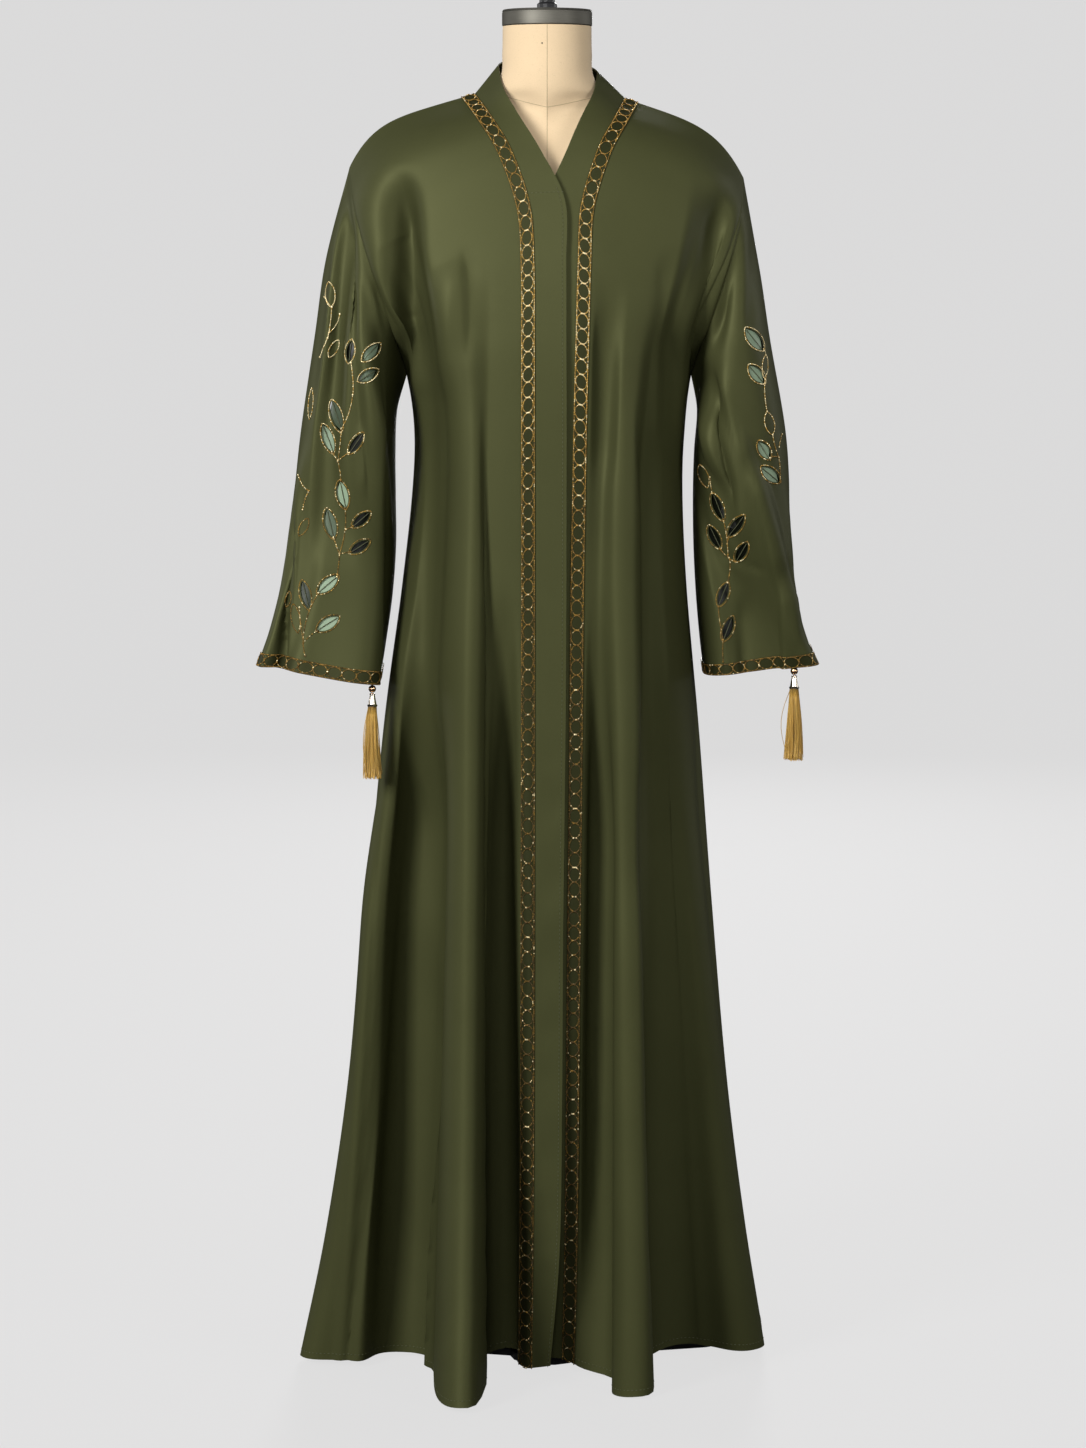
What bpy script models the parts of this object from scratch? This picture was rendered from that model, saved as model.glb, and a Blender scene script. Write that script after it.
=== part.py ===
"""Open-front abaya worn by a limbless dress form: thin cloth panels, trims, tassels, form and stand.

Metres, +Z up, the wearer faces -Y. "left" and "right" are the sides that a viewer in front sees.
The origin is the middle of the stand's flat underside.
"""
import math

import bpy
import numpy as np

# Cloth
WALL = 0.0015             # crepe panel with its turned edges
SEAM_GAP = 0.0006         # clear gap between two panels at a seam
LAY_GAP = 0.0004          # clear gap under a trim that lies on a panel
TRIM_THICK = 0.0012
TRIM_WIDTH = 0.0150
ARM_STEPS = 11            # rows from the shoulder seam to the underarm
SKIRT_STEPS = 10          # rows from the underarm to the hem
FOLD_ROUND = 1.4          # above 1 the crest of a fold is broad and its foot narrow
NECK_STEPS = 3            # columns of half the back neckline
BAND_STEPS = 2            # columns across the neckband and the plackets
JOIN_STEP = 6             # row where the neckband meets the plackets
UNDERARM_V = 5.0
HEM_V = 13.0
HEM_LIFT_V = 11.0         # the hem's lift starts below this row
BODY_AXIS_Y = 0.02
BACK_NECK_DEEP = 0.058    # the back neckline lies this far behind the shoulder seam
STAND_BACK_DEEP = 0.051   # the top edge of the collar behind the neck
STAND_BACK_RISE = 0.014
ROUND_SHARE = 0.32        # share of the rows over which the back neckline fades out

# Tassels
TASSEL_COLUMN = {"left": 9, "right": 4}   # points of the cuff that they hang from
BEAD_RADIUS = 0.0042
CAP_LENGTH = 0.0150
CAP_TOP_RADIUS = 0.0028
CAP_FOOT_RADIUS = 0.0056
CAP_RIM = 0.0020
CAP_CROWN = 0.0010
SILK_LENGTH = 0.0800
SILK_HEAD = 0.0040
SILK_ROOT_RADIUS = 0.0052
SILK_RING_SHARES = (0.30, 0.62, 1.0)
SILK_FLARE = 2.6
SILK_CURVE = 0.8
STRANDS_AROUND = 12
SMALL_SIDES = 12
BEAD_STEPS = 6

# Dress form and stand
FORM_SIDES = 28
TURN_SIDES = 16
CAP_BOTTOM_Z = 1.4972
CAP_HEIGHT = 0.0175
CAP_RADIUS = 0.0495
CAP_BEVEL = 0.0020
BASE_THICK = 0.008
BASE_HUB_RADIUS = 0.042
LEG_REACH = 0.185
LEG_WIDTH = 0.024
LEG_ANGLES = (14, 62, 118, 166)   # degrees from +X: to both sides and behind
LEG_END_STEPS = 6
HUB_STEP = math.radians(24)
TOUCH_GAP = 0.0004


def table(columns, *rows):
    """A table with named columns, as a dictionary of arrays."""
    return dict(zip(columns.split(), np.array(rows, float).T))


# Front panels, one row for each line across the chest or skirt: v counts the lines, the seam end lies
# beside the band, the side end on the armhole and then on the side seam. bend is the power of the fall
# at the side, square the power of the rounding in plan (1 is an ellipse, less is boxier).
FRONT = {
    "left": table(
        "v  seam_x seam_y seam_z  side_x side_y side_z  bend square",
        (0, -.0795, .004, 1.4240, -.2180, .004, 1.3440, 6.0, 1.0),
        (1, -.0600, -.056, 1.3970, -.2130, -.030, 1.3060, 4.0, .85),
        (2, -.0380, -.084, 1.3600, -.2020, -.050, 1.2620, 2.5, .78),
        (3, -.0180, -.104, 1.3010, -.1870, -.060, 1.2160, 2.0, .75),
        (4, -.0135, -.119, 1.2380, -.1700, -.050, 1.1650, 2.0, .75),
        (5, -.0131, -.128, 1.1650, -.1560, .006, 1.1150, 1.5, .75),
        (6, -.0131, -.129, 1.0850, -.1480, .012, 1.0550, 1.0, .76),
        (7, -.0131, -.128, 1.0000, -.1505, .014, .9850, 1.0, .78),
        (8, -.0131, -.127, .8800, -.1630, .016, .8750, 1.0, .78),
        (9, -.0132, -.126, .7200, -.1840, .020, .7200, 1.0, .78),
        (10, -.0135, -.124, .5200, -.2030, .024, .5200, 1.0, .78),
        (11, -.0140, -.120, .3200, -.2185, .030, .3200, 1.0, .76),
        (12, -.0150, -.112, .1500, -.2390, .034, .1500, 1.0, .74),
        (13, -.0165, -.100, .0060, -.2620, .036, .0060, 1.0, .72),
    ),
    "right": table(
        "v  seam_x seam_y seam_z  side_x side_y side_z  bend square",
        (0, .0855, .004, 1.4190, .2170, .004, 1.3320, 5.0, 1.0),
        (1, .0710, -.054, 1.3930, .2140, -.028, 1.2960, 4.0, .85),
        (2, .0535, -.081, 1.3600, .2055, -.046, 1.2570, 2.5, .78),
        (3, .0360, -.100, 1.3010, .1930, -.056, 1.2160, 2.0, .75),
        (4, .0325, -.115, 1.2380, .1760, -.048, 1.1650, 2.0, .75),
        (5, .0305, -.124, 1.1650, .1600, .006, 1.1150, 1.5, .75),
        (6, .0285, -.125, 1.0850, .1530, .012, 1.0550, 1.0, .76),
        (7, .0270, -.124, 1.0000, .1510, .014, .9850, 1.0, .78),
        (8, .0250, -.123, .8800, .1565, .018, .8750, 1.0, .78),
        (9, .0238, -.122, .7200, .1710, .024, .7200, 1.0, .78),
        (10, .0220, -.118, .5200, .1870, .034, .5200, 1.0, .78),
        (11, .0205, -.110, .3200, .2050, .044, .3200, 1.0, .76),
        (12, .0190, -.094, .1500, .2265, .054, .1500, 1.0, .74),
        (13, .0165, -.072, .0120, .2480, .060, .0120, 1.0, .72),
    ),
}
# Free edges: the left one lies over the right one.
EDGE = {
    "left": table(
        "v  x y z",
        (0, -.0540, .004, 1.4545),
        (.5, -.0482, -.0385, 1.4290),
        (1, -.0345, -.061, 1.4050),
        (2, -.0067, -.087, 1.3600),
        (2.9, .0185, -.105, 1.3090),
        (4, .0205, -.122, 1.2380),
        (5, .0207, -.131, 1.1650),
        (7, .0210, -.131, 1.0000),
        (9, .0200, -.129, .7200),
        (10, .0178, -.127, .5200),
        (11, .0166, -.123, .3200),
        (12, .0140, -.116, .1500),
        (13, .0035, -.106, .0170),
    ),
    "right": table(
        "v  x y z",
        (0, .0560, .004, 1.4470),
        (.5, .0508, -.038, 1.4240),
        (1, .0390, -.059, 1.4010),
        (2, .0205, -.081, 1.3590),
        (2.9, -.0010, -.099, 1.3070),
        (4, -.0030, -.1155, 1.2380),
        (5, -.0030, -.1245, 1.1650),
        (7, -.0030, -.1245, 1.0000),
        (9, -.0035, -.1225, .7200),
        (10, -.0050, -.1195, .5200),
        (11, -.0060, -.1145, .3200),
        (12, -.0080, -.1040, .1500),
        (13, -.0130, -.0880, .0240),
    ),
}
# Back panel, half of it, from the centre back to the side: the sides follow the fronts.
BACK = table(
    "v  mid_y mid_z bend square",
    (0, .062, 1.4320, 4.0, 1.0),
    (1, .080, 1.4010, 4.0, .85),
    (2, .096, 1.3500, 3.0, .80),
    (3, .107, 1.2900, 2.0, .76),
    (4, .113, 1.2250, 2.0, .75),
    (5, .116, 1.1600, 1.5, .75),
    (6, .116, 1.0850, 1.0, .76),
    (7, .118, 1.0000, 1.0, .78),
    (8, .128, .8800, 1.0, .78),
    (9, .144, .7200, 1.0, .78),
    (10, .162, .5200, 1.0, .78),
    (11, .178, .3200, 1.0, .76),
    (12, .194, .1500, 1.0, .74),
    (13, .206, .0060, 1.0, .72),
)
NECK_MIDDLE_X = (FRONT["left"]["seam_x"][0] + FRONT["right"]["seam_x"][0]) / 2
# How far behind the front armhole the back armhole lies.
BACK_ARM = table(
    "v  deep",
    (0, .0), (1, .088), (2, .120), (3, .128), (4, .092), (5, .0),
)
# Columns of a front beyond its trim: close together where the large fold falls.
COLUMNS = table(
    "top hem",
    (.130, .105), (.190, .145), (.240, .175), (.285, .205), (.330, .235), (.380, .270), (.440, .310),
    (.520, .370), (.620, .460), (.740, .600), (.870, .790), (1.0, 1.0),
)
# Folds: u runs from the seam (0) to the side (1); inward and outward are the widths of the two slopes.
FOLD = "v  u height inward outward"
FOLDS = {
    "left": (
        table(FOLD, (3.4, .34, .0, .20, .24), (4.6, .33, .009, .20, .22), (6, .30, .010, .17, .20),
              (8, .29, .012, .15, .20), (9.5, .275, .026, .12, .20), (11, .26, .058, .095, .18),
              (12.2, .24, .102, .082, .15), (13, .228, .138, .078, .125)),
        table(FOLD, (8, .12, .0, .09, .09), (10, .10, -.010, .085, .085), (12, .09, -.028, .08, .075),
              (13, .09, -.036, .08, .07)),
        table(FOLD, (2.4, .70, .0, .24, .18), (4, .68, -.013, .22, .18), (5.4, .66, -.006, .20, .20),
              (8, .58, -.012, .16, .16), (10, .55, -.022, .16, .14), (12, .50, -.028, .12, .14),
              (13, .46, -.020, .11, .14)),
        table(FOLD, (8, .80, .0, .14, .16), (10, .78, .010, .13, .15), (12, .78, .022, .13, .15),
              (13, .78, .030, .13, .16)),
    ),
    "right": (
        table(FOLD, (4.0, .34, .0, .20, .12), (6, .33, .009, .17, .10), (8, .30, .014, .16, .095),
              (10, .27, .034, .16, .090), (12, .235, .076, .15, .080), (13, .215, .106, .15, .078)),
        table(FOLD, (4, .17, .0, .10, .10), (5.4, .175, -.006, .09, .09), (8, .16, -.003, .09, .09),
              (9, .15, .0, .09, .09)),
        table(FOLD, (6, .46, .0, .10, .14), (8, .43, -.008, .10, .16), (10, .39, -.016, .10, .18),
              (12, .345, -.020, .09, .18), (13, .32, -.020, .09, .18)),
        table(FOLD, (1.2, .62, .0, .20, .20), (2.6, .64, -.008, .18, .16), (4.2, .62, -.008, .14, .14),
              (5.6, .64, -.004, .14, .14), (7, .66, .0, .14, .14)),
        table(FOLD, (8.5, .74, .0, .2, .2), (11, .70, .012, .18, .2), (13, .66, .024, .18, .2)),
    ),
}
BACK_FOLDS = {
    "left": (
        table(FOLD, (6, .24, .0, .16, .16), (9, .24, .014, .15, .15), (11, .25, .040, .13, .13),
              (13, .26, .078, .11, .12)),
        table(FOLD, (7, .62, .0, .16, .16), (9.5, .60, .012, .15, .15), (11.5, .58, .034, .13, .13),
              (13, .56, .058, .12, .12)),
        table(FOLD, (5, .44, .0, .12, .12), (9, .43, -.010, .11, .11), (13, .41, -.016, .09, .09)),
        table(FOLD, (8, .84, .0, .12, .12), (11, .82, -.012, .11, .11), (13, .80, -.020, .10, .10)),
    ),
    "right": (
        table(FOLD, (6, .30, .0, .16, .16), (9, .31, .012, .15, .15), (11, .32, .036, .13, .13),
              (13, .33, .070, .12, .11)),
        table(FOLD, (7.5, .68, .0, .16, .16), (10, .67, .012, .15, .15), (12, .66, .034, .13, .13),
              (13, .65, .050, .12, .12)),
        table(FOLD, (5, .50, .0, .12, .12), (9, .50, -.008, .11, .11), (13, .49, -.016, .09, .09)),
        table(FOLD, (8, .10, .0, .10, .10), (11, .10, -.012, .10, .10), (13, .10, -.018, .09, .09)),
    ),
}
# The hem is a little higher in its valleys: lift over the panel's lowest row, by u.
HEM_LIFT = {
    "left": table("v  lift", (0, .010), (.09, .014), (.16, .004), (.24, .0), (.5, .002), (1, .0)),
    "right": table("v  lift", (0, .012), (.10, .0), (.22, -.006), (.34, .006), (.7, .006), (1, .008)),
}
# Sleeves, one row for each ring below the armhole: its outer and inner points, the reach of its front
# and its back along Y and the power of its corners (2 is an ellipse, more is boxier).
SLEEVE = {
    "left": table(
        "v  outer_x outer_y outer_z  inner_x inner_y inner_z  front back corner",
        (1, -.2440, .012, 1.2480, -.1670, .010, 1.0750, .083, .083, 2.2),
        (2, -.2580, .012, 1.1580, -.1690, .010, 1.0300, .084, .084, 2.3),
        (3, -.2740, .012, 1.0520, -.1690, .012, .9800, .082, .082, 2.5),
        (4, -.2840, .014, .9650, -.1690, .014, .9250, .078, .080, 2.7),
        (5, -.2920, .012, .8920, -.1730, .008, .8700, .080, .082, 3.0),
        (6, -.3020, .012, .8400, -.1800, .000, .8200, .082, .086, 3.5),
        (7, -.3145, .012, .7975, -.1870, -.008, .7760, .084, .090, 4.0),
    ),
    "right": table(
        "v  outer_x outer_y outer_z  inner_x inner_y inner_z  front back corner",
        (1, .2350, .012, 1.2350, .1670, .010, 1.0750, .080, .083, 2.2),
        (2, .2475, .012, 1.1550, .1640, .010, 1.0300, .082, .084, 2.3),
        (3, .2655, .012, 1.0520, .1630, .012, .9800, .080, .082, 2.5),
        (4, .2715, .014, .9650, .1640, .014, .9250, .076, .080, 2.7),
        (5, .2775, .018, .8920, .1670, .014, .8700, .073, .080, 2.9),
        (6, .2865, .022, .8400, .1715, .014, .8200, .072, .080, 3.0),
        (7, .3000, .028, .7975, .1760, .012, .7830, .072, .078, 3.0),
    ),
}
SLEEVE_ROWS = (0, .5, 1, 1.5, 2, 2.5, 3, 3.5, 4, 4.5, 5, 5.5, 6, 6.65, 7)
# Sleeve folds: u goes once round, 0 outside, .25 in front, .5 against the body, .75 behind.
SLEEVE_FOLDS = {
    "left": (
        table(FOLD, (.2, .10, .0, .05, .06), (1, .15, -.014, .05, .06), (3, .20, -.012, .06, .06),
              (4.6, .24, .0, .06, .06)),
        table(FOLD, (.4, .26, .0, .06, .07), (1.4, .31, .012, .07, .07), (2.6, .36, .010, .07, .07),
              (4, .40, .0, .07, .07)),
        table(FOLD, (3, .085, .0, .06, .05), (5, .09, .008, .06, .05), (7, .095, .014, .06, .05)),
        table(FOLD, (3, .17, .0, .06, .06), (5, .17, -.005, .06, .06), (7, .175, -.007, .06, .06)),
        table(FOLD, (2, .66, .0, .07, .07), (4.5, .66, .010, .07, .07), (7, .67, .016, .07, .07)),
        table(FOLD, (3, .80, .0, .06, .06), (5, .81, -.008, .06, .06), (7, .82, -.010, .06, .06)),
    ),
    "right": (
        table(FOLD, (.6, .42, .0, .08, .06), (1.8, .37, .012, .09, .06), (3.2, .27, .014, .08, .06),
              (5, .17, .014, .07, .06), (7, .135, .018, .06, .06)),
        table(FOLD, (2, .45, .0, .06, .06), (3.6, .37, -.008, .07, .06), (5.4, .27, -.012, .07, .07),
              (7, .25, -.010, .06, .08)),
        table(FOLD, (3.6, .03, .0, .05, .05), (5.6, .04, -.006, .05, .05), (7, .045, -.008, .04, .05)),
        table(FOLD, (2, .64, .0, .07, .07), (4.5, .65, .010, .07, .07), (7, .66, .014, .07, .07)),
        table(FOLD, (3, .82, .0, .06, .06), (5, .83, -.008, .06, .06), (7, .84, -.010, .06, .06)),
    ),
}
# Cutwork leaves of the sleeves, as seen from the front (and, on the back halves, through to behind):
# the middle of the leaf, its lean from upright towards +X in degrees, its length and its width.
LEAF = "x z lean length width"
LEAVES = {
    "sleeve_left_front": table(
        LEAF,
        (-.1920, 1.1420, 45, .024, .010),
        (-.1955, 1.1170, 60, .022, .010),
        (-.2150, 1.1430, 8, .023, .008),
        (-.2310, 1.0720, -18, .034, .012),
        (-.2405, 1.0470, -20, .032, .011),
        (-.2090, 1.0430, 35, .026, .009),
        (-.2245, .9860, -12, .030, .012),
        (-.2385, .9540, -14, .032, .012),
        (-.2040, .9590, 50, .024, .010),
        (-.2060, .9290, 58, .024, .010),
        (-.2410, .8880, 50, .028, .012),
        (-.2660, .8760, -14, .030, .010),
        (-.2410, .8450, 58, .027, .012),
    ),
    "sleeve_right_front": table(
        LEAF,
        (.2270, 1.1560, -40, .030, .013),
        (.2295, 1.1180, -42, .025, .012),
        (.2380, 1.0350, -32, .022, .011),
        (.2455, 1.0080, -50, .026, .012),
        (.1880, .9720, -22, .030, .010),
        (.2075, .9520, 34, .028, .010),
        (.1850, .9380, -26, .026, .010),
        (.2140, .9230, 28, .023, .010),
        (.1945, .8750, 22, .026, .010),
        (.2000, .8370, 22, .027, .010),
    ),
    "sleeve_left_back": table(
        LEAF,
        (-.2120, 1.1100, 20, .030, .012),
        (-.2380, 1.0700, -24, .030, .012),
        (-.2160, 1.0300, 30, .028, .012),
        (-.2450, .9900, -22, .030, .012),
        (-.2160, .9500, 34, .028, .012),
        (-.2480, .9100, -24, .030, .012),
        (-.2200, .8700, 34, .028, .012),
    ),
    "sleeve_right_back": table(
        LEAF,
        (.2050, 1.1100, -20, .030, .012),
        (.2290, 1.0700, 24, .030, .012),
        (.2060, 1.0300, -30, .028, .012),
        (.2360, .9900, 22, .030, .012),
        (.2060, .9500, -34, .028, .012),
        (.2380, .9100, 24, .030, .012),
        (.2100, .8700, -34, .028, .012),
    ),
}
LEAF_HALF_POINTS = 3
# Reach along Y of the cutters of each half of a sleeve.
LEAF_CUT = {"front": (-0.20, 0.01), "back": (0.02, 0.20)}
# A strand of silk: the size of its section at a share of its length.
STRAND = table("share size", (0.0, .74), (.5, .80), (1.0, .86))
# Turned parts of the stand: radius at a height counted from the part's foot, or down from the pole's top.
POLE_FOOT = table("radius rise", (0, 0), (.036, 0), (.036, .005), (.018, .010), (.018, .040), (.0125, .042))
POLE_HEAD = table("radius rise", (.0125, -.020), (.030, -.012), (.034, -.004), (.034, 0), (0, 0))
KNOB = table(
    "radius rise",
    (0, 0), (.0110, 0), (.0110, .006), (.0085, .008), (.0085, .013), (.0150, .017), (.0190, .025),
    (.0190, .031), (.0150, .039), (.0070, .043), (0, .044),
)
# Dress form by height v: half width, how far its front and its back lie from the axis, and the power of
# its corners (2 is an ellipse, less is a lens with the neck in its middle), and its fall towards +X.
TORSO = table(
    "v  half front back power tilt",
    (.742, .128, .082, .100, 2.2, 0),
    (.752, .142, .094, .112, 2.2, 0),
    (.790, .1500, .101, .118, 2.2, 0),
    (.860, .1500, .104, .118, 2.2, 0),
    (.930, .1370, .098, .106, 2.2, 0),
    (.990, .1230, .090, .094, 2.2, 0),
    (1.040, .1170, .088, .088, 2.2, 0),
    (1.090, .1210, .096, .090, 2.2, 0),
    (1.150, .1310, .110, .095, 2.2, 0),
    (1.200, .1360, .113, .097, 2.2, .004),
    (1.250, .1420, .105, .097, 2.2, .008),
    (1.300, .1540, .090, .093, 2.2, .014),
    (1.334, .1700, .076, .082, 2.1, .020),
    (1.357, .1780, .064, .070, 2.0, .024),
    (1.3720, .1785, .054, .058, 1.8, .024),
    (1.3828, .1720, .048, .052, 1.5, .024),
    (1.3919, .1560, .046, .049, 1.3, .024),
    (1.4010, .1330, .046, .048, 1.1, .024),
    (1.4085, .1040, .047, .049, 1.1, .024),
    (1.4160, .0770, .049, .051, 1.3, .022),
    (1.4280, .0600, .0510, .0530, 1.8, .014),
    (1.4420, .0515, .0515, .0530, 2.0, .004),
    (1.4680, .0493, .0500, .0510, 2.0, 0),
    (1.4968, .0488, .0488, .0488, 2.0, 0),
)


def along(tab, column, at):
    """Value of a column at places of the table's first column, on a cubic through its rows."""
    keys = tab["v"]
    values = tab[column]
    slopes = np.gradient(values, keys)
    at = np.clip(np.asarray(at, float), keys[0], keys[-1])
    i = np.clip(np.searchsorted(keys, at, side="right") - 1, 0, len(keys) - 2)
    step = keys[i + 1] - keys[i]
    f = (at - keys[i]) / step
    start = (2 * f**3 - 3 * f**2 + 1) * values[i] + (f**3 - 2 * f**2 + f) * step * slopes[i]
    end = (3 * f**2 - 2 * f**3) * values[i + 1] + (f**3 - f**2) * step * slopes[i + 1]
    return start + end


def relief(folds, v, u, around=False):
    """Height of all folds at rows v and columns u."""
    total = np.zeros(np.broadcast(v, u).shape)
    for fold in folds:
        crest = along(fold, "u", v)
        offset = u - crest
        if around:
            offset = (offset + 0.5) % 1.0 - 0.5
        width = np.where(offset < 0, along(fold, "inward", v), along(fold, "outward", v))
        bump = 0.5 + 0.5 * np.cos(np.pi * np.clip(np.abs(offset) / width, 0, 1) ** FOLD_ROUND)
        inside = (v >= fold["v"][0]) & (v <= fold["v"][-1])
        total += np.where(inside, along(fold, "height", v) * bump, 0.0)
    return total


def rounded(share, corner):
    """Sine or cosine of a section whose corners have this power: 2 is an ellipse, more is boxier."""
    return np.sign(share) * np.abs(share) ** (2 / corner)


def unit(vectors):
    return vectors / np.linalg.norm(vectors, axis=-1, keepdims=True)


def row_places():
    arm = np.linspace(0, UNDERARM_V, ARM_STEPS + 1)
    skirt = np.linspace(UNDERARM_V, HEM_V, SKIRT_STEPS + 1)[1:]
    return np.concatenate([arm, skirt])[:, None]


def fall(t, bend):
    """Share of a row's drop at t of its width: half of it even, half of it close to the side."""
    return (t + t**bend) / 2


def panel_columns(seam_x, side_x, v):
    """Columns of a front: the seam, the trim's outer edge, then the places of COLUMNS."""
    trim = np.arcsin(np.clip(TRIM_WIDTH / np.abs(side_x - seam_x), 0, 1)) * 2 / np.pi
    low = np.clip((v - UNDERARM_V) / (HEM_V - UNDERARM_V), 0, 1)
    rest = COLUMNS["top"] * (1 - low) + COLUMNS["hem"] * low
    return np.concatenate([np.zeros_like(trim), trim, rest], axis=1)


def front_grid(side):
    """Outer points of a front, rows from the shoulder to the hem, columns from the seam to the side."""
    v = row_places()
    tab = FRONT[side]
    value = {name: along(tab, name, v) for name in tab}
    u = panel_columns(value["seam_x"], value["side_x"], v)
    t = np.sin(u * np.pi / 2)
    x = value["seam_x"] + (value["side_x"] - value["seam_x"]) * t
    plan = np.clip(1 - t**2, 0, 1) ** (value["square"] / 2)
    y = value["side_y"] + (value["seam_y"] - value["side_y"]) * plan
    z = value["seam_z"] + (value["side_z"] - value["seam_z"]) * fall(t, value["bend"])
    turn = (np.pi / 2) * t**3
    height = relief(FOLDS[side], v, u)
    sign = -1 if side == "left" else 1
    x = x + sign * np.sin(turn) * height
    y = y - np.cos(turn) * height
    lift = along(HEM_LIFT[side], "lift", u) * np.clip((v - HEM_LIFT_V) / (HEM_V - HEM_LIFT_V), 0, 1) ** 2
    return np.stack([x, y, z + lift], axis=-1)


def back_half(side, front):
    """Outer points of half the back, columns from the centre back to the side."""
    v = row_places()
    rows = len(v)
    armhole = front[:, -1].copy()
    armhole[:ARM_STEPS + 1, 1] += along(BACK_ARM, "deep", v[:ARM_STEPS + 1, 0])
    sign = -1 if side == "left" else 1
    value = {name: along(BACK, name, v) for name in BACK}
    middle_z = value["mid_z"]
    # the shoulder seam and half the back neckline
    turn = np.linspace(np.pi / 2, 0, NECK_STEPS + 1)[:, None]
    neck = front[0, 0]
    top = np.concatenate([
        np.concatenate([
            NECK_MIDDLE_X + (neck[0] - NECK_MIDDLE_X) * np.cos(turn),
            neck[1] + BACK_NECK_DEEP * np.sin(turn),
            neck[2] + (BACK["mid_z"][0] - neck[2]) * np.sin(turn),
        ], axis=1)[:-1],
        front[0],
    ])
    arc = np.concatenate([[0], np.cumsum(np.linalg.norm(np.diff(top, axis=0), axis=1))])
    low = np.clip(v / UNDERARM_V, 0, 1)
    u = (arc / arc[-1])[None, :] * (1 - low) + np.linspace(0, 1, len(arc))[None, :] * low
    t = np.sin(u * np.pi / 2)
    side_point = armhole[:, None, :]
    x = NECK_MIDDLE_X * (1 - t) + side_point[..., 0] * t
    plan = np.clip(1 - t**2, 0, 1) ** (value["square"] / 2)
    y = side_point[..., 1] + (value["mid_y"] - side_point[..., 1]) * plan
    z = middle_z + (side_point[..., 2] - middle_z) * fall(t, value["bend"])
    height = relief(BACK_FOLDS[side], v, u)
    outward = (np.pi / 2) * t**3
    x = x + sign * np.sin(outward) * height * (t < 1)
    y = y + np.cos(outward) * height
    body = np.stack([np.broadcast_to(x, (rows, u.shape[1])), y, z], axis=-1)
    fade = np.clip(1 - v[:, :, None] / (UNDERARM_V * ROUND_SHARE), 0, 1)
    fade = fade**2 * (3 - 2 * fade)
    grid = body + (top - body[0])[None] * fade
    grid[:, -1] = armhole
    return grid


def edge_points(side):
    v = row_places()[:, 0]
    return np.stack([along(EDGE[side], name, v) for name in "xyz"], axis=-1)


def band_between(edge, seam):
    """Strip of columns from a free edge to a seam, rows along them."""
    f = np.linspace(0, 1, BAND_STEPS + 1)[None, :, None]
    return edge[:, None, :] * (1 - f) + seam[:, None, :] * f


def neckband_grid(fronts, back):
    """The neckband from the left placket up, round the back of the neck and down to the right one."""
    left = band_between(edge_points("left"), fronts["left"][:, 0])[:JOIN_STEP + 1][::-1]
    right = band_between(edge_points("right"), fronts["right"][:, 0])[:JOIN_STEP + 1]
    start = left[-1, 0]
    end = right[0, 0]
    turn = np.linspace(0, np.pi, 2 * NECK_STEPS + 1)[:, None]
    share = (1 - np.cos(turn)) / 2
    top = start + (end - start) * share + np.array([0, STAND_BACK_DEEP, STAND_BACK_RISE]) * np.sin(turn)
    middle = back.shape[1] // 2
    seam = back[0, middle - NECK_STEPS:middle + NECK_STEPS + 1]
    behind = band_between(top, seam)
    return np.concatenate([left, behind[1:-1], right])


def sleeve_grid(side, front, back_edge):
    """Outer points of a sleeve, rows from the armhole to the cuff, columns once round."""
    ring = np.concatenate([front[:ARM_STEPS + 1, -1], back_edge[1:ARM_STEPS][::-1]])
    count = len(ring)
    u = np.arange(count) / count
    angle = 2 * np.pi * u
    tab = SLEEVE[side]
    loops = [ring]
    for k in range(len(tab["v"])):
        outer = np.array([tab["outer_" + a][k] for a in "xyz"])
        inner = np.array([tab["inner_" + a][k] for a in "xyz"])
        centre = (outer + inner) / 2
        across = rounded(np.cos(angle), tab["corner"][k])
        deep = rounded(np.sin(angle), tab["corner"][k])
        loop = centre + (outer - centre) * across[:, None]
        loop[:, 1] -= deep * np.where(deep > 0, tab["front"][k], tab["back"][k])
        loops.append(loop)
    keys = np.concatenate([[0], tab["v"]])
    flat = np.array(loops).reshape(len(keys), -1)
    rows = np.array(SLEEVE_ROWS, float)
    columns = [along({"v": keys, "c": flat[:, c]}, "c", rows) for c in range(flat.shape[1])]
    grid = np.stack(columns, axis=1).reshape(len(rows), count, 3)
    away = (grid - grid.mean(axis=1, keepdims=True)) * np.array([1, 1, 0])
    height = relief(SLEEVE_FOLDS[side], rows[:, None], u[None, :], around=True)
    return grid + unit(away) * height[..., None]


def grid_normals(grid, around=False):
    """Outward normal of each grid point, from the triangles round it."""
    normals = np.zeros_like(grid)
    wide = np.concatenate([grid, grid[:, :1]], axis=1) if around else grid
    a = wide[:-1, :-1]
    b = wide[:-1, 1:]
    c = wide[1:, 1:]
    d = wide[1:, :-1]
    face = unit(np.cross(c - a, d - b))
    rows, cols = face.shape[:2]
    for i in (0, 1):
        for j in (0, 1):
            if around:
                normals[i:rows + i] += np.roll(face, j, axis=1)
            else:
                normals[i:rows + i, j:cols + j] += face
    return unit(normals)


def faces_in(grid, around):
    """Whether the grid's own normals point towards the axis and have to be turned."""
    centre = grid.mean(axis=1, keepdims=True) if around else np.array([0, BODY_AXIS_Y, 0])
    away = (grid - centre) * np.array([1, 1, 0])
    return bool(np.sum(away * grid_normals(grid, around)) < 0)


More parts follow.
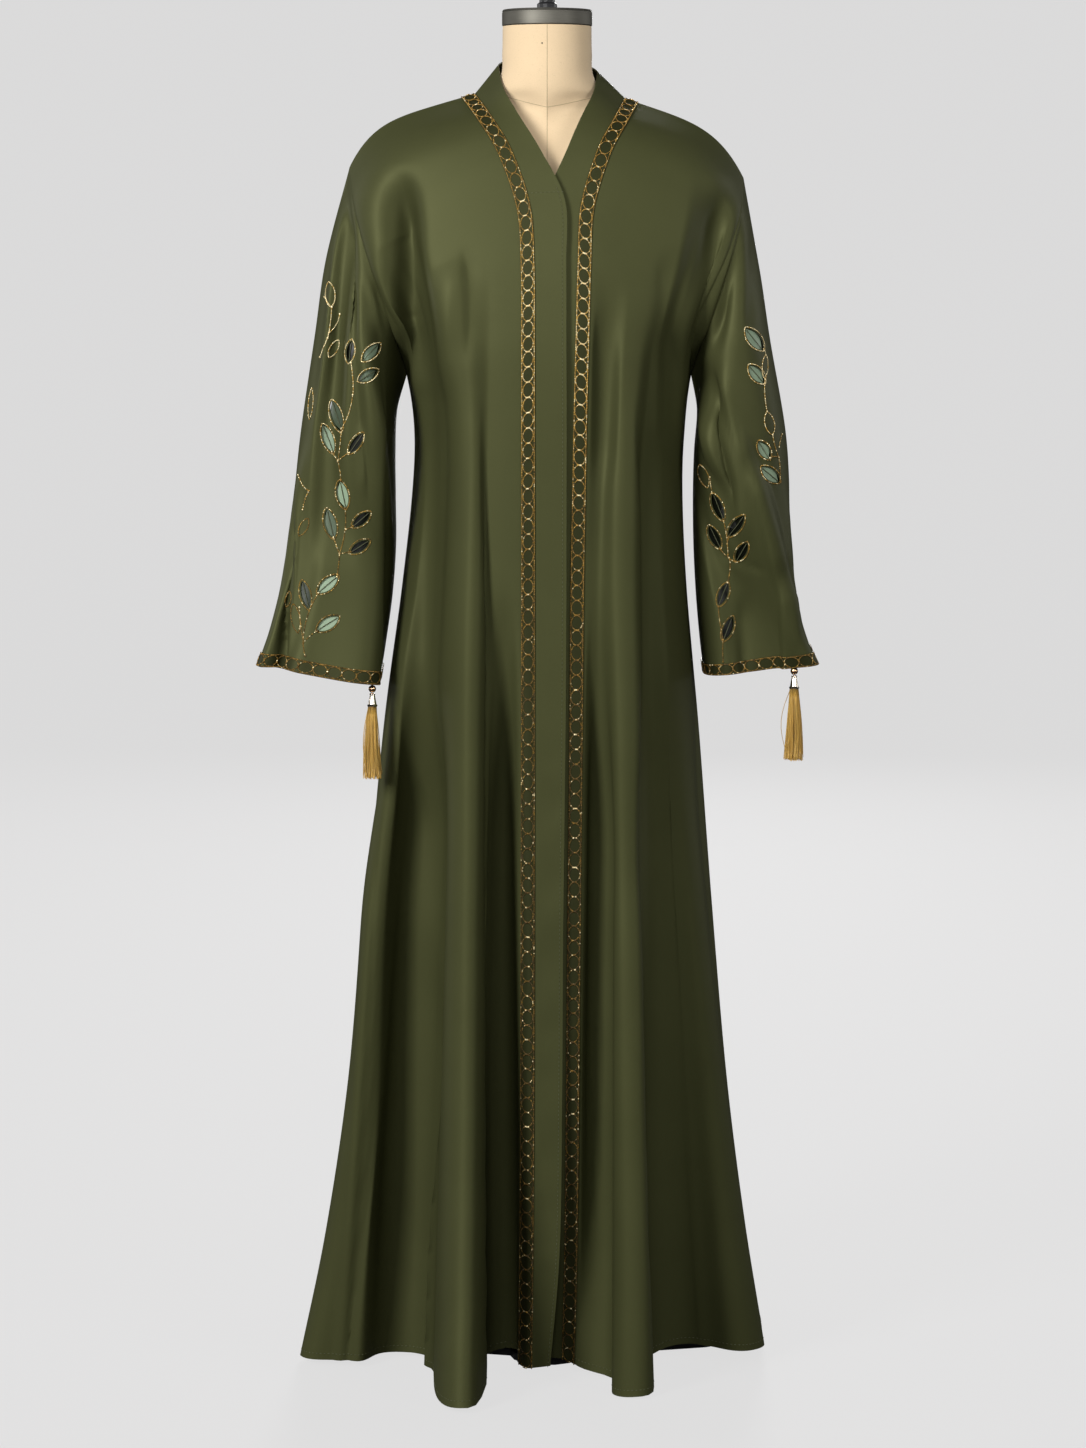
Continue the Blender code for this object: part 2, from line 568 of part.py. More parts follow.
def welded_normals(grids, flips):
    """Normals of several grids: panels share them where their points meet, a closed sleeve has its own."""
    normals = {}
    shared = {}
    for name, (grid, around) in grids.items():
        normals[name] = grid_normals(grid, around) * (-1 if flips[name] else 1)
        if around:
            continue
        for key, normal in zip(map(tuple, np.round(grid.reshape(-1, 3), 6)), normals[name].reshape(-1, 3)):
            shared[key] = shared.get(key, 0) + normal
    for name, (grid, around) in grids.items():
        if not around:
            keys = map(tuple, np.round(grid.reshape(-1, 3), 6))
            normals[name] = unit(np.array([shared[key] for key in keys])).reshape(grid.shape)
    return normals


def pull_in(grid, borders):
    """The grid with its named borders moved in by half a seam's gap."""
    moved = grid.copy()
    places = {"first_row": (np.s_[0], np.s_[1]), "last_row": (np.s_[-1], np.s_[-2]),
              "first_column": (np.s_[:, 0], np.s_[:, 1]), "last_column": (np.s_[:, -1], np.s_[:, -2])}
    for border in borders:
        edge, inside = places[border]
        moved[edge] += unit(grid[inside] - grid[edge]) * SEAM_GAP / 2
    return moved


def wall_mesh(outer, inner, flip, around=False):
    """Closed wall between two grids of the same size, as points and triangles."""
    rows, cols = outer.shape[:2]
    points = np.concatenate([outer.reshape(-1, 3), inner.reshape(-1, 3)])
    half = rows * cols
    faces = []

    def at(i, j, layer):
        return layer * half + i * cols + j % cols

    def quad(a, b, c, d):
        faces.append((a, b, c))
        faces.append((a, c, d))

    last = cols if around else cols - 1
    for i in range(rows - 1):
        for j in range(last):
            quad(at(i, j, 0), at(i, j + 1, 0), at(i + 1, j + 1, 0), at(i + 1, j, 0))
            faces.extend([(at(i, j, 1), at(i + 1, j + 1, 1), at(i, j + 1, 1)),
                          (at(i, j, 1), at(i + 1, j, 1), at(i + 1, j + 1, 1))])
    for j in range(last):
        quad(at(0, j + 1, 0), at(0, j, 0), at(0, j, 1), at(0, j + 1, 1))
        quad(at(rows - 1, j, 0), at(rows - 1, j + 1, 0), at(rows - 1, j + 1, 1), at(rows - 1, j, 1))
    if not around:
        for i in range(rows - 1):
            quad(at(i, 0, 0), at(i + 1, 0, 0), at(i + 1, 0, 1), at(i, 0, 1))
            quad(at(i + 1, cols - 1, 0), at(i, cols - 1, 0), at(i, cols - 1, 1), at(i + 1, cols - 1, 1))
    if flip:
        faces = [face[::-1] for face in faces]
    return points, faces


def material(name, colour, roughness, metallic=0.0):
    made = bpy.data.materials.new(name)
    made.use_nodes = True
    shader = made.node_tree.nodes["Principled BSDF"]
    shader.inputs["Base Color"].default_value = (*colour, 1)
    shader.inputs["Roughness"].default_value = roughness
    shader.inputs["Metallic"].default_value = metallic
    made.diffuse_color = (*colour, 1)
    return made


def add_object(name, points, faces, finish, smooth=True):
    mesh = bpy.data.meshes.new(name)
    mesh.from_pydata([tuple(map(float, p)) for p in points], [], faces)
    mesh.materials.append(finish)
    if smooth:
        mesh.shade_smooth()
        mesh.set_sharp_from_angle(angle=math.radians(50))
    made = bpy.data.objects.new(name, mesh)
    bpy.context.collection.objects.link(made)
    return made


def turned(name, profile, finish, centre=(0, 0), sides=TURN_SIDES):
    """Solid of revolution: the profile lists radius and height from the bottom up, 0 radius at each end."""
    points = []
    rings = []
    for radius, z in profile:
        if radius == 0:
            rings.append([len(points)])
            points.append((centre[0], centre[1], z))
            continue
        rings.append(list(range(len(points), len(points) + sides)))
        for k in range(sides):
            angle = 2 * math.pi * k / sides
            points.append((centre[0] + radius * math.cos(angle), centre[1] + radius * math.sin(angle), z))
    faces = []
    for low, high in zip(rings, rings[1:]):
        for k in range(sides):
            n = (k + 1) % sides
            if len(low) == 1:
                faces.append((low[0], high[n], high[k]))
            elif len(high) == 1:
                faces.append((low[k], low[n], high[0]))
            else:
                faces.append((low[k], low[n], high[n], high[k]))
    return add_object(name, points, faces, finish)


def build_torso(finish):
    """The form's body and neck, lofted through the rounded sections of TORSO."""
    angle = 2 * np.pi * np.arange(FORM_SIDES) / FORM_SIDES
    points = [(0, 0, TORSO["v"][0])]
    for z, half, front, back, corner, tilt in zip(*TORSO.values()):
        across = rounded(np.cos(angle), corner)
        deep = rounded(np.sin(angle), corner)
        reach = np.where(deep > 0, back, front)
        points += [(half * c, r * s, z - half * c * tilt) for c, s, r in zip(across, deep, reach)]
    points.append((0, 0, TORSO["v"][-1]))
    top = len(points) - 1
    faces = []
    for k in range(FORM_SIDES):
        n = (k + 1) % FORM_SIDES
        faces.append((0, 1 + n, 1 + k))
        faces.append((top, top - FORM_SIDES + k, top - FORM_SIDES + n))
        for low in range(1, top - FORM_SIDES, FORM_SIDES):
            faces.append((low + k, low + n, low + FORM_SIDES + n, low + FORM_SIDES + k))
    add_object("form_torso", points, faces, finish)


def leaf_outline(x, z, lean, length, width):
    """A pointed leaf in the XZ plane, anticlockwise from its base."""
    steps = [math.pi * k / LEAF_HALF_POINTS for k in range(LEAF_HALF_POINTS)]
    right = [(width / 2 * math.sin(a), -length / 2 * math.cos(a)) for a in steps]
    outline = right + [(-px, -pz) for px, pz in right]
    c, s = math.cos(math.radians(lean)), math.sin(math.radians(lean))
    return [(x + px * c + pz * s, z - px * s + pz * c) for px, pz in outline]


def cut_leaves(target, leaves, near_y, far_y):
    """Cuts the leaves of a table through one wall of a sleeve."""
    points = []
    faces = []
    for row in zip(*(leaves[name] for name in LEAF.split())):
        outline = leaf_outline(*row)
        first = len(points)
        count = len(outline)
        points += [(px, near_y, pz) for px, pz in outline] + [(px, far_y, pz) for px, pz in outline]
        faces.append(tuple(range(first, first + count)))
        faces.append(tuple(range(first + 2 * count - 1, first + count - 1, -1)))
        for k in range(count):
            n = (k + 1) % count
            faces.append((first + n, first + k, first + count + k, first + count + n))
    cutter = add_object(target.name + "_cutter", points, faces, target.data.materials[0], smooth=False)
    cutter.hide_render = True
    cutter.display_type = "WIRE"
    cut = target.modifiers.new("leaves", "BOOLEAN")
    cut.operation = "DIFFERENCE"
    cut.object = cutter


def build_garment(cloth, trim):
    """All panels, sleeves and trims; returns the points of the sleeves."""
    fronts = {side: front_grid(side) for side in ("left", "right")}
    halves = {side: back_half(side, fronts[side]) for side in fronts}
    sleeves = {side: sleeve_grid(side, fronts[side], halves[side][:, -1]) for side in fronts}
    plackets = {side: band_between(edge_points(side), fronts[side][:, 0])[JOIN_STEP:] for side in fronts}
    back = np.concatenate([halves["left"][:, ::-1], halves["right"][:, 1:]], axis=1)
    # each grid and whether it closes round
    grids = {
        "front_left": (fronts["left"], False),
        "front_right": (fronts["right"], False),
        "back": (back, False),
        "neckband": (neckband_grid(fronts, back), False),
        "placket_left": (plackets["left"], False),
        "placket_right": (plackets["right"], False),
        "sleeve_left": (sleeves["left"], True),
        "sleeve_right": (sleeves["right"], True),
    }
    flips = {name: faces_in(grid, around) for name, (grid, around) in grids.items()}
    normals = welded_normals(grids, flips)
    sides = ("first_column", "last_column")
    borders = {
        "front_left": ("first_row",) + sides,
        "front_right": ("first_row",) + sides,
        "back": ("first_row",) + sides,
        "neckband": ("first_row", "last_row", "last_column"),
        "placket_left": ("first_row", "last_column"),
        "placket_right": ("first_row", "last_column"),
    }
    for name, edges in borders.items():
        outer = pull_in(grids[name][0], edges)
        add_object(name, *wall_mesh(outer, outer - WALL * normals[name], flips[name]), cloth)
    for side, sleeve in sleeves.items():
        name = "sleeve_" + side
        closed = np.concatenate([sleeve, sleeve[:, :1]], axis=1)
        closed_normal = np.concatenate([normals[name], normals[name][:, :1]], axis=1)
        for half, columns in (("front", slice(0, ARM_STEPS + 1)), ("back", slice(ARM_STEPS, None))):
            outer = pull_in(closed[:, columns], ("first_row",) + sides)
            inner = outer - WALL * closed_normal[:, columns]
            wall = add_object(f"{name}_{half}", *wall_mesh(outer, inner, flips[name]), cloth)
            cut_leaves(wall, LEAVES[wall.name], *LEAF_CUT[half])
        add_trim("cuff_trim_" + side, sleeve[-2:], normals[name][-2:], flips[name], trim, around=True)
        name = "front_" + side
        add_trim("front_trim_" + side, fronts[side][:, :2], normals[name][:, :2], flips[name], trim)
    return sleeves


def add_trim(name, grid, normals, flip, finish, around=False):
    """A flat trim that lies on these points of a panel."""
    low = grid + normals * LAY_GAP
    high = low + normals * TRIM_THICK
    add_object(name, *wall_mesh(high, low, flip, around), finish)


def cuff_point(sleeve, column):
    """A point of the cuff's edge, in the middle of its wall."""
    x, y, z = sleeve[-1, column]
    centre = sleeve[-1].mean(axis=0)
    inward = np.array([centre[0] - x, centre[1] - y])
    inward = inward / np.linalg.norm(inward) * WALL / 2
    return x + inward[0], y + inward[1], z


def build_tassel(side, hang, bead_finish, cap_finish, silk_finish):
    """Bead, metal cap and silk that hang from the point 'hang' of a cuff."""
    x, y, z = hang
    middle = z - TOUCH_GAP - BEAD_RADIUS
    arcs = [math.pi * k / BEAD_STEPS for k in range(1, BEAD_STEPS)]
    ball = [(BEAD_RADIUS * math.sin(a), middle - BEAD_RADIUS * math.cos(a)) for a in arcs]
    ball = [(0, middle - BEAD_RADIUS)] + ball + [(0, middle + BEAD_RADIUS)]
    turned(f"tassel_{side}_bead", ball, bead_finish, (x, y), SMALL_SIDES)
    top = middle - BEAD_RADIUS - TOUCH_GAP
    foot = top - CAP_LENGTH
    cone = [
        (0, foot), (CAP_FOOT_RADIUS, foot), (CAP_FOOT_RADIUS, foot + CAP_RIM),
        (CAP_TOP_RADIUS, top - CAP_CROWN), (CAP_TOP_RADIUS - CAP_CROWN, top), (0, top),
    ]
    turned(f"tassel_{side}_cap", cone, cap_finish, (x, y), SMALL_SIDES)
    build_silk(f"tassel_{side}_silk", np.array([x, y, foot - TOUCH_GAP]), silk_finish)


def build_silk(name, top, finish):
    """A flat head with strands that fan out below it: one closed body."""
    turns = 2 * np.pi * np.arange(STRANDS_AROUND) / STRANDS_AROUND
    circle = np.stack([np.cos(turns), np.sin(turns), np.zeros(STRANDS_AROUND)], axis=-1) * SILK_ROOT_RADIUS
    foot = top - np.array([0, 0, SILK_HEAD])
    points = list(top + circle)
    for share in SILK_RING_SHARES:
        points += list(foot + circle * share)
    ring = [list(range(k * STRANDS_AROUND, (k + 1) * STRANDS_AROUND)) for k in range(len(SILK_RING_SHARES) + 1)]
    faces = [tuple(ring[0]), tuple(ring[1][::-1])]
    for k in range(STRANDS_AROUND):
        n = (k + 1) % STRANDS_AROUND
        faces.append((ring[-1][k], ring[-1][n], ring[0][n], ring[0][k]))
        for inner, outer in zip(ring[1:], ring[2:]):
            add_strand(points, faces, (inner[k], inner[n], outer[n], outer[k]), top)
    add_object(name, points, faces, finish, smooth=False)


def add_strand(points, faces, root, top):
    """One strand with four sides that grows down from the corners 'root'."""
    corners = np.array([points[c] for c in root])
    centre = corners.mean(axis=0)
    for share, size in zip(STRAND["share"], STRAND["size"]):
        spread = 1 + (SILK_FLARE - 1) * share**SILK_CURVE
        middle = top + (centre - top) * np.array([spread, spread, 1])
        middle[2] -= (SILK_LENGTH - SILK_HEAD) * share
        first = len(points)
        points += list(middle + (corners - centre) * size)
        ring = tuple(range(first, first + 4))
        for a in range(4):
            b = (a + 1) % 4
            faces.append((root[a], root[b], ring[b], ring[a]))
        root = ring
    faces.append(root)


def foot_outline():
    """Outline of the foot: a round hub with rounded legs, anticlockwise."""
    half = LEG_WIDTH / 2
    hub_turn = math.asin(half / BASE_HUB_RADIUS)
    root_reach = BASE_HUB_RADIUS * math.cos(hub_turn)
    angles = [math.radians(angle) for angle in LEG_ANGLES]
    outline = []
    for angle, following in zip(angles, angles[1:] + [angles[0] + 2 * math.pi]):
        ahead = np.array([math.cos(angle), math.sin(angle)])
        across = np.array([math.sin(angle), -math.cos(angle)]) * half
        outline.append(ahead * root_reach + across)
        for step in range(LEG_END_STEPS + 1):
            swing = math.pi * step / LEG_END_STEPS
            outline.append(ahead * (LEG_REACH + half * math.sin(swing)) + across * math.cos(swing))
        outline.append(ahead * root_reach - across)
        span = following - angle - 2 * hub_turn
        steps = max(2, round(span / HUB_STEP))
        for step in range(1, steps):
            turn = angle + hub_turn + span * step / steps
            outline.append(np.array([math.cos(turn), math.sin(turn)]) * BASE_HUB_RADIUS)
    return outline


def profile_from(tab, z):
    """A table's profile, its heights counted from z."""
    return list(zip(tab["radius"], z + tab["rise"]))


def build_stand(dark, steel):
    """Flat foot with four legs, pole with its flanges, neck cap and knob."""
    outline = foot_outline()
    count = len(outline)
    points = [(x, y, 0) for x, y in outline] + [(x, y, BASE_THICK) for x, y in outline]
    faces = [tuple(range(count))[::-1], tuple(range(count, 2 * count))]
    faces += [(k, (k + 1) % count, count + (k + 1) % count, count + k) for k in range(count)]
    add_object("stand_base", points, faces, dark, smooth=False)
    pole = profile_from(POLE_FOOT, BASE_THICK + TOUCH_GAP) + profile_from(POLE_HEAD, TORSO["v"][0] - TOUCH_GAP)
    turned("stand_pole", pole, steel)
    top = CAP_BOTTOM_Z + CAP_HEIGHT
    disc = [
        (0, CAP_BOTTOM_Z), (CAP_RADIUS, CAP_BOTTOM_Z), (CAP_RADIUS, top - CAP_BEVEL),
        (CAP_RADIUS - CAP_BEVEL, top), (0, top),
    ]
    turned("neck_cap", disc, steel, sides=FORM_SIDES)
    turned("neck_knob", profile_from(KNOB, top + TOUCH_GAP), dark)


def main():
    for old in list(bpy.data.objects):
        bpy.data.objects.remove(old, do_unlink=True)
    cloth = material("olive_crepe", (.085, .095, .045), .45)
    trim = material("bead_trim", (.24, .17, .06), .5)
    gold = material("gold_bead", (.75, .52, .2), .3, 1.0)
    silver = material("cap_metal", (.75, .68, .55), .25, 1.0)
    silk = material("gold_silk", (.60, .38, .06), .5)
    linen = material("cream_linen", (.93, .80, .56), .8)
    steel = material("brushed_steel", (.55, .54, .52), .3, 1.0)
    dark = material("black_paint", (.02, .02, .02), .4)
    sleeves = build_garment(cloth, trim)
    for side, column in TASSEL_COLUMN.items():
        build_tassel(side, cuff_point(sleeves[side], column), gold, silver, silk)
    build_torso(linen)
    build_stand(dark, steel)


main()
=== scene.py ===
"""Looks of the open-front abaya on its dress form: cloth, bead work, tassels, form and studio.

Metres, +Z up, the garment faces -Y. "left" and "right" are the sides that a viewer in front sees.
"""
import math

import bmesh
import bpy
import numpy as np
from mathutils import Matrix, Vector
from mathutils.bvhtree import BVHTree


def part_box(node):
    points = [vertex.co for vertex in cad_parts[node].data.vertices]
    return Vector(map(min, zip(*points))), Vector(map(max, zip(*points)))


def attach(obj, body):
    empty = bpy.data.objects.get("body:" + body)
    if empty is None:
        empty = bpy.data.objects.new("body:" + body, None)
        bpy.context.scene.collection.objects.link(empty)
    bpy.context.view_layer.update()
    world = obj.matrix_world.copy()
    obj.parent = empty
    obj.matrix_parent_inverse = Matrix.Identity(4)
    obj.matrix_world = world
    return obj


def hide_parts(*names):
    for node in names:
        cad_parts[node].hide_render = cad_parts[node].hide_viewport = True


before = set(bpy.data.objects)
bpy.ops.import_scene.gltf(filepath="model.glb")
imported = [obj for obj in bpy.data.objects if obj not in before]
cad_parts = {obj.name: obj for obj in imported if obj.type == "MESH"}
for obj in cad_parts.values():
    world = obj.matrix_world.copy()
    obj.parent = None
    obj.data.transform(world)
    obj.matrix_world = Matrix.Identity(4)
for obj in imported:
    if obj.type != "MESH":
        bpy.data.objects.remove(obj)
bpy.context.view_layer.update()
BODY = "root"

# Camera, as worked out from the photo
CAMERA_PLACE = (-0.0045, -4.5, 1.25)
CAMERA_DOWN = 6.65
CAMERA_LENS = 100.5
CAMERA_FILM = 36.0

# Round studio sweep
SWEEP_RADIUS = 9.5
SWEEP_BEND = 2.0
SWEEP_HEIGHT = 9.0

# Cloth
WALL = 0.0012
BAND_WALL = WALL * 1.2
SEAM_GAP = 0.00002
TRIM_WIDTH = 0.0150
TRIM_LIFT = 0.0004
TRIM_THICK = 0.0005
HEM_HEIGHT = 0.0075
ARM_ROWS = 77
SKIRT_ROWS = 110
FRONT_COLUMNS = 110
TRIM_COLUMNS = 8
EASE_COLUMNS = 5
NECK_COLUMNS = 12
BAND_COLUMNS = 8
JOIN_V = 30 / 11
UNDERARM_V = 5.0
HEM_V = 13.0
HEM_LIFT_V = 11.0
BODY_AXIS_Y = 0.02
BACK_NECK_DEEP = 0.058
STAND_BACK_DEEP = 0.051
STAND_BACK_RISE = 0.014
ROUND_SHARE = 0.32
FOLD_ROUND = 1.4

# Shares of a curve or panel over which its creases fade out
CREASE_FADE = 0.3
FACING_FADE = 0.35
SIDE_FADE = 0.05
BACK_FADE = 0.08
ARMHOLE_FADE = 0.06


def table(columns, text):
    """A table with named columns as a dictionary of arrays; semicolons end its rows."""
    rows = [row.split() for row in text.split(";")]
    return dict(zip(columns.split(), np.array(rows, float).T))


# The garment's sections, close to those of its solids
FRONT = {
    "left": table("v seam_x seam_y seam_z side_x side_y side_z bend square", """
    0 -.0795 .004 1.424 -.218 .004 1.344 6 1; 1 -.06 -.056 1.397 -.213 -.03 1.306 4 .85;
    2 -.038 -.084 1.36 -.202 -.05 1.262 2.5 .78; 3 -.018 -.104 1.301 -.187 -.06 1.216 2 .75;
    4 -.0135 -.119 1.238 -.17 -.05 1.165 2 .75; 5 -.0131 -.128 1.165 -.156 .006 1.115 1.5 .75;
    6 -.0131 -.129 1.085 -.148 .012 1.055 1 .76; 7 -.0131 -.128 1 -.1505 .014 .985 1 .78;
    8 -.0131 -.127 .88 -.163 .016 .875 1 .78; 9 -.0132 -.126 .72 -.184 .02 .72 1 .78;
    10 -.0135 -.124 .52 -.203 .024 .52 1 .78; 11 -.014 -.12 .32 -.2185 .03 .32 1 .76;
    12 -.015 -.112 .15 -.239 .034 .15 1 .74; 13 -.0165 -.1 .006 -.262 .036 .006 1 .72
    """),
    "right": table("v seam_x seam_y seam_z side_x side_y side_z bend square", """
    0 .0855 .004 1.419 .217 .004 1.332 5 1; 1 .071 -.054 1.393 .214 -.028 1.296 4 .85;
    2 .0535 -.081 1.36 .2055 -.046 1.257 2.5 .78; 3 .036 -.1 1.301 .193 -.056 1.216 2 .75;
    4 .0325 -.115 1.238 .176 -.048 1.165 2 .75; 5 .0305 -.124 1.165 .16 .006 1.115 1.5 .75;
    6 .0285 -.125 1.085 .153 .012 1.055 1 .76; 7 .027 -.124 1 .151 .014 .985 1 .78;
    8 .025 -.123 .88 .1565 .018 .875 1 .78; 9 .0238 -.122 .72 .171 .024 .72 1 .78;
    10 .022 -.118 .52 .187 .034 .52 1 .78; 11 .0205 -.11 .32 .205 .044 .32 1 .76;
    12 .019 -.094 .15 .2265 .054 .15 1 .74; 13 .0165 -.072 .012 .248 .06 .012 1 .72
    """),
}
EDGE = {
    "left": table("v x y z", """
    0 -.054 .004 1.4545; .5 -.0482 -.0385 1.429; 1 -.0345 -.061 1.405; 2 -.0067 -.087 1.36;
    2.9 .0185 -.105 1.309; 4 .0205 -.122 1.238; 5 .0207 -.131 1.165; 7 .021 -.131 1; 9 .02 -.129 .72;
    10 .0178 -.127 .52; 11 .0166 -.123 .32; 12 .014 -.116 .15; 13 .0035 -.106 .017
    """),
    "right": table("v x y z", """
    0 .056 .004 1.447; .5 .0508 -.038 1.424; 1 .039 -.059 1.401; 2 .0205 -.081 1.359;
    2.9 -.001 -.099 1.307; 4 -.003 -.1155 1.238; 5 -.003 -.1245 1.165; 7 -.003 -.1245 1;
    9 -.0035 -.1225 .72; 10 -.005 -.1195 .52; 11 -.006 -.1145 .32; 12 -.008 -.104 .15;
    13 -.013 -.088 .024
    """),
}
BACK = table("v mid_y mid_z bend square", """
    0 .062 1.432 4 1; 1 .08 1.401 4 .85; 2 .096 1.35 3 .8; 3 .107 1.29 2 .76; 4 .113 1.225 2 .75;
    5 .116 1.16 1.5 .75; 6 .116 1.085 1 .76; 7 .118 1 1 .78; 8 .128 .88 1 .78; 9 .144 .72 1 .78;
    10 .162 .52 1 .78; 11 .178 .32 1 .76; 12 .194 .15 1 .74; 13 .206 .006 1 .72
""")
NECK_MIDDLE_X = (FRONT["left"]["seam_x"][0] + FRONT["right"]["seam_x"][0]) / 2
BACK_ARM = table("v deep", "0 0; 1 .088; 2 .12; 3 .128; 4 .092; 5 0")
FOLD = "v u height inward outward"
FOLDS = {
    "left": (
        table(FOLD, """
        3.4 .38 0 .2 .24; 4.6 .37 .009 .16 .22; 6 .345 .012 .1 .2; 8 .305 .016 .065 .2;
        9.5 .255 .03 .055 .2; 11 .225 .062 .05 .18; 12.2 .2 .104 .048 .16; 13 .185 .138 .048 .15
        """),
        table(FOLD, "8 .12 0 .09 .09; 10 .1 -.01 .085 .085; 12 .09 -.028 .08 .075; 13 .09 -.036 .08 .07"),
        table(FOLD, """
        2.4 .7 0 .24 .18; 4 .68 -.013 .22 .18; 5.4 .66 -.006 .2 .2; 8 .58 -.012 .16 .16;
        10 .55 -.022 .16 .14; 12 .5 -.028 .12 .14; 13 .46 -.02 .11 .14
        """),
        table(FOLD, "8 .8 0 .14 .16; 10 .78 .01 .13 .15; 12 .78 .022 .13 .15; 13 .78 .03 .13 .16"),
    ),
    "right": (
        table(FOLD, """
        4 .34 0 .2 .12; 6 .33 .009 .17 .1; 8 .3 .014 .16 .095; 10 .27 .034 .16 .09;
        12 .235 .076 .165 .08; 13 .215 .106 .19 .078
        """),
        table(FOLD, "4 .17 0 .1 .1; 5.4 .175 -.006 .09 .09; 8 .16 -.003 .09 .09; 9 .15 0 .09 .09"),
        table(FOLD, """
        6 .46 0 .1 .14; 8 .43 -.008 .1 .16; 10 .39 -.016 .1 .18; 12 .345 -.02 .09 .18;
        13 .32 -.02 .09 .18
        """),
        table(FOLD, """
        1.2 .62 0 .2 .2; 2.6 .64 -.008 .18 .16; 4.2 .62 -.008 .14 .14; 5.6 .64 -.004 .14 .14;
        7 .66 0 .14 .14
        """),
        table(FOLD, "8.5 .74 0 .2 .2; 11 .7 .012 .18 .2; 13 .66 .024 .18 .2"),
    ),
}
BACK_FOLDS = {
    "left": (
        table(FOLD, "6 .24 0 .16 .16; 9 .24 .014 .15 .15; 11 .25 .04 .13 .13; 13 .26 .078 .11 .12"),
        table(FOLD, "7 .62 0 .16 .16; 9.5 .6 .012 .15 .15; 11.5 .58 .034 .13 .13; 13 .56 .058 .12 .12"),
        table(FOLD, "5 .44 0 .12 .12; 9 .43 -.01 .11 .11; 13 .41 -.016 .09 .09"),
        table(FOLD, "8 .84 0 .12 .12; 11 .82 -.012 .11 .11; 13 .8 -.02 .1 .1"),
    ),
    "right": (
        table(FOLD, "6 .3 0 .16 .16; 9 .31 .012 .15 .15; 11 .32 .036 .13 .13; 13 .33 .07 .12 .11"),
        table(FOLD, "7.5 .68 0 .16 .16; 10 .67 .01 .15 .15; 12 .64 .024 .13 .13; 13 .61 .034 .12 .12"),
        table(FOLD, "5 .5 0 .12 .12; 9 .5 -.008 .11 .11; 13 .49 -.016 .09 .09"),
        table(FOLD, "8 .1 0 .1 .1; 11 .1 -.012 .1 .1; 13 .1 -.018 .09 .09"),
    ),
}
HEM_LIFT = {
    "left": table("v lift", "0 .007; .09 .007; .16 .001; .24 0; .5 .002; 1 0"),
    "right": table("v lift", "0 .004; .05 -.003; .1 -.009; .22 -.009; .34 .002; .7 .004; 1 .008"),
}
SLEEVE = {
    "left": table("v outer_x outer_y outer_z inner_x inner_y inner_z front back corner", """
    1 -.244 .012 1.248 -.167 .01 1.075 .083 .083 2.2; 2 -.258 .012 1.158 -.169 .01 1.03 .084 .084 2.3;
    3 -.274 .012 1.052 -.169 .012 .98 .082 .082 2.5; 4 -.284 .014 .965 -.169 .014 .925 .078 .08 2.7;
    5 -.292 .012 .892 -.173 .008 .87 .08 .082 3; 6 -.302 .012 .84 -.18 0 .82 .082 .086 3.5;
    7 -.3145 .012 .7975 -.187 -.008 .776 .084 .09 4
    """),
    "right": table("v outer_x outer_y outer_z inner_x inner_y inner_z front back corner", """
    1 .235 .012 1.235 .167 .01 1.075 .08 .083 2.2; 2 .2475 .012 1.155 .164 .01 1.03 .082 .084 2.3;
    3 .2655 .012 1.052 .163 .012 .98 .08 .082 2.5; 4 .2715 .014 .965 .164 .014 .925 .076 .08 2.7;
    5 .2775 .018 .892 .167 .014 .87 .073 .08 2.9; 6 .2865 .022 .84 .1715 .014 .82 .072 .08 3;
    7 .3 .028 .7975 .176 .012 .783 .072 .078 3
    """),
}
SLEEVE_ROWS = 100
SLEEVE_END_V = 7.0
SLEEVE_FOLDS = {
    "left": (
        table(FOLD, ".2 .1 0 .05 .06; 1 .15 -.014 .05 .06; 3 .2 -.012 .06 .06; 4.6 .24 0 .06 .06"),
        table(FOLD, ".4 .26 0 .06 .07; 1.4 .31 .012 .07 .07; 2.6 .36 .01 .07 .07; 4 .4 0 .07 .07"),
        table(FOLD, "3 .085 0 .06 .05; 5 .09 .008 .06 .05; 7 .095 .014 .06 .05"),
        table(FOLD, "3 .17 0 .06 .06; 5 .17 -.005 .06 .06; 7 .175 -.007 .06 .06"),
        table(FOLD, "2 .66 0 .07 .07; 4.5 .66 .01 .07 .07; 7 .67 .016 .07 .07"),
        table(FOLD, "3 .8 0 .06 .06; 5 .81 -.008 .06 .06; 7 .82 -.01 .06 .06"),
    ),
    "right": (
        table(FOLD, """
        .6 .42 0 .08 .06; 1.8 .37 .012 .09 .06; 3.2 .27 .014 .08 .06; 5 .17 .014 .07 .06;
        7 .135 .018 .06 .06
        """),
        table(FOLD, "2 .45 0 .06 .06; 3.6 .37 -.008 .07 .06; 5.4 .27 -.012 .07 .07; 7 .25 -.01 .06 .08"),
        table(FOLD, "3.6 .03 0 .05 .05; 5.6 .04 -.006 .05 .05; 7 .045 -.008 .04 .05"),
        table(FOLD, "2 .64 0 .07 .07; 4.5 .65 .01 .07 .07; 7 .66 .014 .07 .07"),
        table(FOLD, "3 .82 0 .06 .06; 5 .83 -.008 .06 .06; 7 .84 -.01 .06 .06"),
    ),
}
